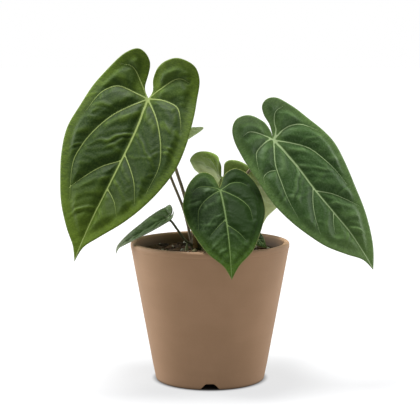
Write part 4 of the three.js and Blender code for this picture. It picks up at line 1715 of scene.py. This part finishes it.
def leaves() -> list[Leaf]:
    """The seven leaves, each with its own shape and place.

    Returns:
        The leaves, from the largest to the smallest.
    """
    heart = (
        (-1.4, 0), (-10, 2), (-19.5, 4.4), (-26.4, 9.8), (-27.8, 15.6), (-23.4, 22.9), (-12.7, 29.7),
        (2.9, 34.6), (19.5, 36.5), (41, 32.7), (60.4, 24.4), (78, 13.2), (88.7, 4.9), (97.5, 0),
    )  # fmt: skip
    bud_heart = (
        (-0.4, 0), (-3.4, 0.8), (-5.3, 2.8), (-3.4, 6), (1.6, 7.6), (7.5, 7), (12.5, 4.2), (16, 1.4),
        (18, 0),
    )  # fmt: skip

    def other_side(points: Line) -> Line:
        """The same half outline on the other side of the midrib."""
        return tuple((u, -v) for u, v in points)

    return [
        Leaf(
            name="large", insertion=(-46, -8, 212), heading=-133, dive=54, roll=-21,
            droop=8, curl=8, lobe_droop=-45, fold=11, rim=-2,
            left=((-1, 0), (-9, -6), (-28, -7.5), (-36.8, -17), (-31, -28.5), (-17.5, -38.3), (-1, -45.2),
                  (20, -48), (40, -49.5), (60, -44.5), (81, -35.3), (97.5, -26.5), (113, -15),
                  (123.5, -5.5), (134, 0)),
            right=((-1, 0), (-7, 1), (-16, -2), (-25.5, -0.7), (-32.5, 6), (-37, 17), (-34.5, 30),
                   (-25, 36.7), (-8, 39.7), (8, 43.6), (28, 47.2), (48, 47.8), (66, 43.5), (83, 36),
                   (98, 26), (112.5, 12.3), (122.5, 3), (134, 0)),
            veins=(
                Vein(((0, 0), (25, 3), (50, 3), (75, 2), (100, 0.5), (132, 0)), 1.15, 0.4, 2.2),
                Vein(((0, 0), (-11, -10), (-20, -18), (-22, -24), (-21, -31))),
                Vein(((0, 0), (-2, -13), (-3, -26), (4, -35), (13, -39), (24, -41))),
                Vein(((0, 0), (11, -11), (22, -20), (36, -27), (50, -31), (66, -31.5), (92, -22)), 0.6, 0.2),
                Vein(((52, 3), (61, -9), (72, -18), (84, -26)), 0.42, 0.2),
                Vein(((0, 0), (-6, 4), (-13, 10), (-19, 16), (-21.5, 22), (-20, 29))),
                Vein(((0, 0), (-1, 7), (-1, 16), (2, 27), (9, 33), (20, 39))),
                Vein(((0, 0), (11, 12), (22, 21), (37, 30), (52, 35), (72, 34)), 0.6, 0.2),
                Vein(((47, 3), (58, 14), (68, 22), (82, 29)), 0.42, 0.2),
                Vein(((76, 2), (84, 12), (94, 19)), 0.3, 0.15),
            ),
            finish=GREEN,
            route=stalk_route(112, 102, 1.2, (
                (-14.2, 6, 118), (-19.8, 5, 140.6), (-25.8, 4.4, 159.5), (-29.4, 4.8, 174),
                (-31.8, 4.4, 187), (-38, 0.8, 200.5))),
            stalk=1.2, stalk_finish=BROWN_STALK,
        ),
        Leaf(
            name="right", insertion=(47.5, -4, 181.5), heading=-17.5, dive=47, roll=40,
            droop=12, curl=8, lobe_droop=-36, fold=6, rim=-2,
            left=((-2, 1), (-7.5, 3), (-15.4, 2.5), (-23.4, -3.3), (-28.4, -11), (-30.2, -20.5),
                  (-26.2, -27), (-18.2, -30.4), (-6.6, -32.3), (5.6, -34.6), (17, -36.2), (31.6, -38.1),
                  (43, -38.1), (58, -35.5), (73, -30.5), (86.5, -24), (100, -13.4), (111, -3.5), (122, 0)),
            right=((-2, 1), (-11, 5.3), (-20, 5.4), (-26.8, 7.3), (-29.3, 12.8), (-27.3, 20.1),
                   (-21.5, 26.5), (-9.2, 33.9), (4.3, 37.6), (17.6, 40.6), (30.4, 41), (47, 36.6),
                   (65, 30.3), (83.3, 24), (99.4, 16.3), (111, 9), (122, 0)),
            veins=(
                Vein(((0, 0), (25, 0.5), (48, -0.5), (72, 0.5), (92, 1.5), (120, 0)), 1.1, 0.4, 2.2),
                Vein(((0, 0), (-5, 7), (-11, 10), (-17, 16), (-17, 24))),
                Vein(((0, 0), (-1, 5), (-2, 14), (0, 23), (5, 30), (14, 36))),
                Vein(((0, 0), (11, 11), (21, 19), (34, 23), (47, 25), (60, 25)), 0.55, 0.2),
                Vein(((49, -0.5), (58, 9), (68, 16), (78, 22)), 0.42, 0.2),
                Vein(((0, 0), (-5, -3), (-12, -9), (-16, -15), (-16, -22))),
                Vein(((0, 0), (-2, -3), (-2, -11), (0, -20), (5, -25), (11, -29))),
                Vein(((0, 0), (15, -14), (29, -21), (42, -26), (56, -29)), 0.55, 0.2),
                Vein(((46, -0.5), (55, -10), (65, -17), (76, -22)), 0.42, 0.2),
                Vein(((70, 0), (76, -6), (83, -11)), 0.28, 0.15),
                Vein(((19, -18), (17, -24), (18, -30), (22, -33)), 0.28, 0.15),
            ),
            finish=BLUE_GREEN,
            route=stalk_route(18, 104, 1.2, (
                (2, 3.4, 118), (15, 2.6, 138.5), (29, 1.8, 157.4), (39, 3.4, 170.5))),
            stalk=1.2, stalk_finish=BROWN_STALK,
        ),
        Leaf(
            name="hidden", insertion=(-37, 14, 182.5), heading=141.6, dive=21.5, roll=11,
            droop=20, curl=8, lobe_droop=9.5, fold=14.5, rim=-2,
            left=other_side(heart),
            right=((-1.4, 0), (-7, 5.2), (-13, 8.4), (-19.5, 9.6), (-25.5, 12.5), (-27.8, 17.5),
                   (-23.4, 24), *heart[6:]),
            veins=usual_veins(97.5),
            finish=BLUE_GREEN,
            route=stalk_route(165, 104, 1.0, (
                (-17, 3.4, 117.5), (-21, 6, 131.3), (-29.9, 8.4, 153.3), (-34.8, 9.4, 169))),
            stalk=1.0, stalk_finish=BROWN_STALK,
        ),
        Leaf(
            name="rear", insertion=(9.5, 21.5, 150), heading=62, dive=29.5, roll=13,
            droop=4, curl=8, lobe_droop=-76, fold=31, rim=-14,
            left=((-1, 0), (-5, -2.6), (-11, -3.8), (-17, -4.4), (-21, -8), (-22.5, -14.5), (-21, -21),
                  (-16.5, -26), (-6, -31), (8, -34), (24, -34.5), (46, -29), (55.5, -23), (65, -15.3),
                  (72, -9.2), (78, -4.8), (85, 0)),
            right=((-1, 0), (-5, -1), (-9.5, -1.9), (-15, -1.7), (-20, 1.8), (-22.3, 8.3), (-22.9, 16.2),
                   (-21.3, 22.6), (-17.6, 27.6), (-11.6, 31.5), (-3, 35), (8, 38), (19, 39.5), (36, 35.5),
                   (54, 25.5), (69, 13.5), (78, 5), (85, 0)),
            veins=usual_veins(85, mirror=True),
            finish=PALE_GREEN,
            route=stalk_route(62, 105, 1.15, ((-5.4, 9.6, 118), (-0.6, 14, 129.5), (4.2, 17.6, 140))),
            stalk=1.15, stalk_finish=PALE_STALK, young=True, quilt=0.8, puff=1.4,
        ),
        Leaf(
            name="front", insertion=(7.5, -22.5, 145.6), heading=-82, dive=36, roll=4,
            droop=30, curl=6, lobe_droop=-20, fold=7, rim=-7,
            left=((-3.4, 0), (-9.2, -1.7), (-14.5, -3.9), (-18.1, -9.7), (-15.4, -16.8), (-5.2, -24.1),
                  (12.7, -29), (25, -28.2), (38.6, -24.2), (55.1, -15.6), (66, -5), (76, 0)),
            right=((-3.4, 0), (-7.8, 1.8), (-12.8, 3.5), (-17.7, 7.9), (-19.3, 14.5), (-13.9, 22.1),
                   (-1.8, 28.1), (19.2, 30.6), (33.7, 27.5), (54.5, 18), (66, 6.7), (76, 0)),
            veins=(
                Vein(((0, 0), (23, 1), (50, 1), (75, 0)), 0.8, 0.28, 2.0),
                Vein(((0, 0), (2, -3), (9, -11), (17, -17), (25, -19), (36, -20)), 0.36, 0.16),
                Vein(((0, 0), (-2, -2), (-4, -9), (-4, -15), (0, -20)), 0.36, 0.16),
                Vein(((0, 0), (1, 2), (7, 9), (12, 14), (20, 19), (30, 20)), 0.36, 0.16),
                Vein(((0, 0), (-3, 4), (-6, 9), (-6, 15), (-3, 20)), 0.36, 0.16),
                Vein(((28, 1), (35, -6), (42, -12)), 0.22, 0.12),
                Vein(((33, 1), (40, 8), (47, 13)), 0.22, 0.12),
            ),
            finish=HALF_SHADED_GREEN,
            route=stalk_route(292, 103, 1.1, ((-4.6, -6.4, 116), (1.6, -9.8, 127), (5.8, -13.6, 136.5))),
            stalk=1.1, stalk_finish=OLIVE_STALK, quilt=1.3,
        ),
        Leaf(
            name="low", insertion=(-31, -14, 124.5), heading=183, dive=29, roll=-20,
            droop=5, curl=62, lobe_droop=-60, fold=22, rim=6,
            left=((-0.8, 0), (-4.5, -1), (-8, -3.5), (-9, -7.5), (-5, -11.3), (3, -13), (12.5, -12),
                  (21, -9.8), (31, -7.6), (40, -4.4), (48.5, 0)),
            right=((-0.8, 0), (-4.5, 1), (-8.5, 3.5), (-9.5, 7), (-5, 10.4), (3, 11.8), (12.5, 11.9),
                   (21, 10.6), (31, 7.8), (40, 4.2), (48.5, 0)),
            veins=usual_veins(48.5),
            finish=SHEEN_GREYED_GREEN,
            route=stalk_route(212, 98.5, 0.85, (
                (-18.4, -4.6, 106), (-24.4, -9.2, 115), (-28.2, -12.4, 121))),
            stalk=0.85, stalk_finish=OLIVE_STALK,
        ),
        Leaf(
            name="inner", insertion=(31, 9, 109.5), heading=5, dive=36, roll=40,
            droop=20, curl=5, lobe_droop=-30, fold=12, rim=-5,
            left=other_side(bud_heart), right=bud_heart,
            veins=usual_veins(18),
            finish=HALF_SHADED_GREEN,
            route=stalk_route(345, 99.5, 0.7, ((2, 0.6, 103.4), (13, 5, 106.8), (24, 9.8, 107.2))),
            stalk=0.7, stalk_finish=OLIVE_STALK, lattice=0.6,
        ),
    ]  # fmt: skip


# The stem and what clings to it


@dataclass(frozen=True)
class Bract:
    """A dry bract: a pointed strip of a cone that clasps the stem and flares at its tip.

    Its azimuth is that of its middle and its spread is half its width at the foot, both in degrees, and
    its flare is how far its tip leans out.
    """

    azimuth: float
    spread: float
    top: float
    flare: float
    foot: float = 100.2
    clearance: float = 0.65
    thickness: float = 0.4
    rows: int = 26
    columns: int = 14

    def point(self, share: float, across: float, side: int) -> Point:
        """Find a point on one of the bract's two sides.

        Args:
            share: How far up it is, from 0 to 1.
            across: How far across it is, from -1 to 1.
            side: 1 on the outside and -1 on the inside.

        Returns:
            The point.
        """
        width = self.spread * (1 - 0.85 * share**2.2)
        curl = 0.35 * abs(across) ** 3 * share
        ripple = 0.12 * math.sin(share * 17 + across * 5) * share
        radius = STEM_RADIUS + self.clearance + self.flare * share**2 + curl + ripple
        height = self.foot + (self.top - self.foot) * share
        return from_stem(self.azimuth + across * width, radius + side * self.thickness / 2, height)

    def build(self) -> bpy.types.Mesh:
        """Join the bract's two sides round their edge.

        Returns:
            The bract's closed mesh.
        """
        rows, columns, wide = self.rows, self.columns, self.columns + 1
        net = [(i / rows, 2 * k / columns - 1) for i in range(rows + 1) for k in range(wide)]
        points = [self.point(share, across, side) for side in (1, -1) for share, across in net]
        count, last = len(net), rows * wide
        faces = []
        for a in (i * wide + k for i in range(rows) for k in range(columns)):
            b = a + wide
            faces.append([a, a + 1, b + 1, b])
            faces.append([b + count, b + 1 + count, a + 1 + count, a + count])
        loop = [
            *range(columns),
            *range(columns, last + columns, wide),
            *range(last + columns, last, -1),
            *range(last, 0, -wide),
        ]
        for start, end in zip(loop, loop[1:] + loop[:1]):
            faces.append([end, start, start + count, end + count])
        height = self.top - self.foot
        flat = np.array([[share * height, across * 3, 0] for share, across in net] * 2)
        return mesh_of("bract", np.array(points), faces, {"flat": flat})


@dataclass(frozen=True)
class AerialRoot:
    """A root that leaves the stem, reaches out and dips to a depth below the mix's surface."""

    azimuth: float
    height: float
    reach: float
    depth: float
    radius: float
    swing: float = 8.0
    surface: float = 96.0

    def strand(self, name: str) -> Strand:
        """Lead the root from the stem into the mix.

        Args:
            name: The solid that it replaces.

        Returns:
            The root's strand.
        """
        end = self.surface - self.depth
        route = [
            from_stem(self.azimuth, STEM_RADIUS - 2, self.height + 0.4),
            from_stem(self.azimuth, STEM_RADIUS + 2, self.height + 0.5),
            from_stem(self.azimuth, STEM_RADIUS + self.reach * 0.6, self.height - 1.2),
            from_stem(self.azimuth + self.swing * 0.75, STEM_RADIUS + self.reach * 0.9, self.height - 6),
            from_stem(self.azimuth + self.swing, STEM_RADIUS + self.reach, end),
        ]
        return Strand(name, "root", route, lambda s: self.radius * (1 - 0.35 * s**2), ROOT_SKIN, step=0.8)


@dataclass
class Stem:
    """The short ringed stem, the dry bracts that clasp it, its aerial roots and a new shoot."""

    foot: float = 62.0
    top: float = 109.0
    rows: int = 60
    columns: int = 40
    node_spacing: float = 7.0
    node_swell: float = 0.5
    foot_round: float = 0.8
    roughness: float = 0.22
    bracts: tuple[Bract, ...] = (
        Bract(azimuth=252, spread=20, top=113, flare=2.2),
        Bract(azimuth=321, spread=11, top=116, flare=1.4),
        Bract(azimuth=139, spread=7.5, top=109, flare=0.3),
    )
    roots: tuple[AerialRoot, ...] = (
        AerialRoot(azimuth=250, height=98, reach=11, depth=14, radius=1.2),
        AerialRoot(azimuth=318, height=98, reach=13, depth=16, radius=1.25),
        AerialRoot(azimuth=83, height=97.8, reach=12, depth=15, radius=1.1),
    )
    shoot: tuple[Point, Point] = ((-18.5, -4.5, 88), (-17.2, -5.4, 104.5))
    shoot_radius: float = 1.5
    shoot_columns: int = 28
    seam_depth: float = 0.12

    def build(self) -> bpy.types.Mesh:
        """The stem, ringed where old leaves stood.

        Returns:
            The stem's mesh.
        """
        heights = np.linspace(self.foot, self.top - 2, self.rows)[1:]
        wave = ((heights - self.foot - 3) / self.node_spacing) % 1
        radii = STEM_RADIUS + self.node_swell * (smooth(0.0, 0.7, wave) - 1.0)
        radii[0] -= self.foot_round
        tip = ((STEM_RADIUS * 0.75, self.top - 0.9), (STEM_RADIUS * 0.4, self.top - 0.1), (0, self.top))
        points, faces = turned([(0, self.foot), *zip(radii, heights), *tip], once_round(self.columns))
        angle = np.arctan2(points[:, 1], points[:, 0])
        for i, point in enumerate(points):
            rough = noise.fractal(Vector(point * 0.5), 0.8, 2.0, 4)
            away = Vector((point[0], point[1], 0))
            points[i] += np.array(away.normalized()) * self.roughness * rough
        stored = {"flat": np.column_stack([points[:, 2], angle * STEM_RADIUS, np.zeros(len(points))])}
        points += (*STEM_AXIS, 0)
        return mesh_of("stem", points, faces, stored)

    def bud(self) -> bpy.types.Mesh:
        """The new shoot: a furled, pointed leaf that has just broken the surface.

        Returns:
            The shoot's mesh.
        """
        foot, tip = (Vector(p) for p in self.shoot)
        height = (tip - foot).length
        shape = ((0, 0), (0.7, 0.02), (0.95, 0.18), (1, 0.36), (0.9, 0.6), (0.62, 0.78), (0.3, 0.92), (0, 1))
        profile = [(max(r, 0) * self.shoot_radius, z * height) for r, z in spline(shape, 8)]
        points, faces = turned(profile, once_round(self.shoot_columns))
        angle = np.arctan2(points[:, 1], points[:, 0])
        away = (angle - 0.12 * points[:, 2]) % (2 * math.pi) - 3.0
        points[:, :2] *= (1 - self.seam_depth * np.exp(-(away**2) / 0.05))[:, None]
        turn = Vector((0, 0, 1)).rotation_difference(tip - foot).to_matrix()
        stored = {"flat": np.column_stack([points[:, 2], angle * 2, np.zeros(len(points))])}
        placed = points @ np.array(turn).T + np.array(foot)
        return mesh_of("new_shoot", placed, faces, stored)

    def dress(self, tree: Growth) -> list[bpy.types.Object]:
        """Build the stem's pieces and give them their finishes.

        Args:
            tree: The tree that grows a tube along a line.

        Returns:
            The pieces.
        """
        made = [settle(self.build(), STEM_BARK.material(), "stem")]
        dry = DRY_BRACT.material()
        for index, bract in enumerate(self.bracts, 1):
            made.append(settle(bract.build(), dry, f"bract_{index}"))
        for index, root in enumerate(self.roots, 1):
            made.append(root.strand(f"aerial_root_{index}").dress(tree))
        made.append(settle(self.bud(), BUD_SKIN.material(), "new_shoot"))
        return made


# The studio


@dataclass(frozen=True)
class SoftBox:
    """A square light: where it hangs, the length of its sides in metres and its power in watts."""

    name: str
    place: Point
    size: float
    power: float

    def hang(self, aim: Point) -> None:
        """Hang the light so that it faces a point.

        Args:
            aim: The point, in metres.
        """
        data = bpy.data.lights.new(self.name, "AREA")
        data.size, data.energy = self.size, self.power
        made = bpy.data.objects.new(self.name, data)
        made.location = self.place
        made.rotation_euler = (Vector(aim) - Vector(self.place)).to_track_quat("-Z", "Y").to_euler()
        bpy.context.scene.collection.objects.link(made)


@dataclass
class Studio:
    """A white sweep, soft boxes on both sides and above, and the camera, in metres.

    The floor glows, which paints its light: the glow stays low right round the pot's foot, where it paints a
    contact shadow, and further out it lifts the shadows that the plant casts; it lights the plant from below
    as well. It rises in three steps with the distance from the pot's axis, each with its start, its end and
    its share.
    """

    distance: float = 1.0
    eye: float = 0.25
    pitch: float = -6.92
    lens: float = 114.55
    ambient: float = 0.3
    floor_size: float = 30.0
    floor_glow: float = 1.1
    glow_steps: tuple[Point, ...] = ((0.0385, 0.0455, 0.66), (0.055, 0.105, 0.08), (0.12, 1.0, 0.26))
    aim: Point = (0.0, 0.0, 0.12)
    boxes: tuple[SoftBox, ...] = (
        SoftBox("box_left", (-1.1, 0.42, 0.42), size=0.8, power=18),
        SoftBox("box_right", (1.1, 0.45, 0.42), size=0.8, power=14),
        SoftBox("box_above", (-0.25, 0.1, 1.25), size=0.45, power=30),
    )

    def camera(self) -> None:
        """Stand the camera in front of the plant, a little above its middle."""
        data = bpy.data.cameras.new("camera")
        data.lens, data.sensor_width = self.lens, 36.0
        data.clip_start, data.clip_end = 0.05, 50.0
        made = bpy.data.objects.new("camera", data)
        made.location = (0, -self.distance, self.eye)
        made.rotation_euler = (math.radians(90 + self.pitch), 0, 0)
        bpy.context.scene.collection.objects.link(made)
        bpy.context.scene.camera = made

    def sweep(self) -> None:
        """Lay the white floor."""
        bpy.ops.mesh.primitive_plane_add(size=self.floor_size, location=(0, 0, 0))
        floor = bpy.context.active_object
        floor.name = "studio_floor"
        paint = Paint("studio_white")
        away = paint.node("ShaderNodeVectorMath", {0: paint.place()}, "Value", operation="LENGTH")
        # Painted light and shadow on the floor: little glow close round the pot paints a contact shadow,
        # more glow further out lifts the cast shadows.
        near, middle, far = (away.smooth(start, end) * share for start, end, share in self.glow_steps)
        glow = near + middle + far
        white = paint.surface(
            Base_Color=(0.13, 0.13, 0.13),
            Roughness=0.9,
            Specular_IOR_Level=0.0,
            Emission_Color=paint.mix(glow, (0.0, 0.0, 0.0), (0.985, 0.99, 1.0)),
            Emission_Strength=self.floor_glow,
        )
        floor.data.materials.append(white)

    def surroundings(self) -> None:
        """White surroundings, which the camera sees as plain white and which light the plant softly."""
        world = bpy.data.worlds.new("studio")
        world.use_nodes = True
        board = Board(world.node_tree)
        seen = board.node("ShaderNodeLightPath", output="Is Camera Ray")
        soft = board.node("ShaderNodeBackground", {"Color": (0.97, 0.98, 1.0), "Strength": self.ambient})
        white = board.node("ShaderNodeBackground", {"Color": (1.0, 1.0, 1.0), "Strength": 1.0})
        glow = board.node("ShaderNodeMixShader", {0: seen, 1: soft, 2: white})
        board.node("ShaderNodeOutputWorld", {"Surface": glow})
        bpy.context.scene.world = world

    def build(self) -> None:
        """Set up the camera, the floor, the surroundings and the lights."""
        scene = bpy.context.scene
        scene.view_settings.view_transform = "Standard"
        scene.view_settings.look = "None"
        self.camera()
        self.sweep()
        self.surroundings()
        for box in self.boxes:
            box.hang(self.aim)
        log.info("studio ready")


# The whole plant


def main() -> None:
    """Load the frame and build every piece."""
    logging.basicConfig(level=logging.INFO, format="%(message)s")
    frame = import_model()
    log.info("frame with %d solids", len(frame["nodes"]))
    Studio().build()
    pot = Pot()
    pot.dress()
    PottingMix(pot).dress()
    tree = Strand.tree()
    Stem().dress(tree)
    for leaf in leaves():
        leaf.dress(tree)


if __name__ == "__main__":
    main()
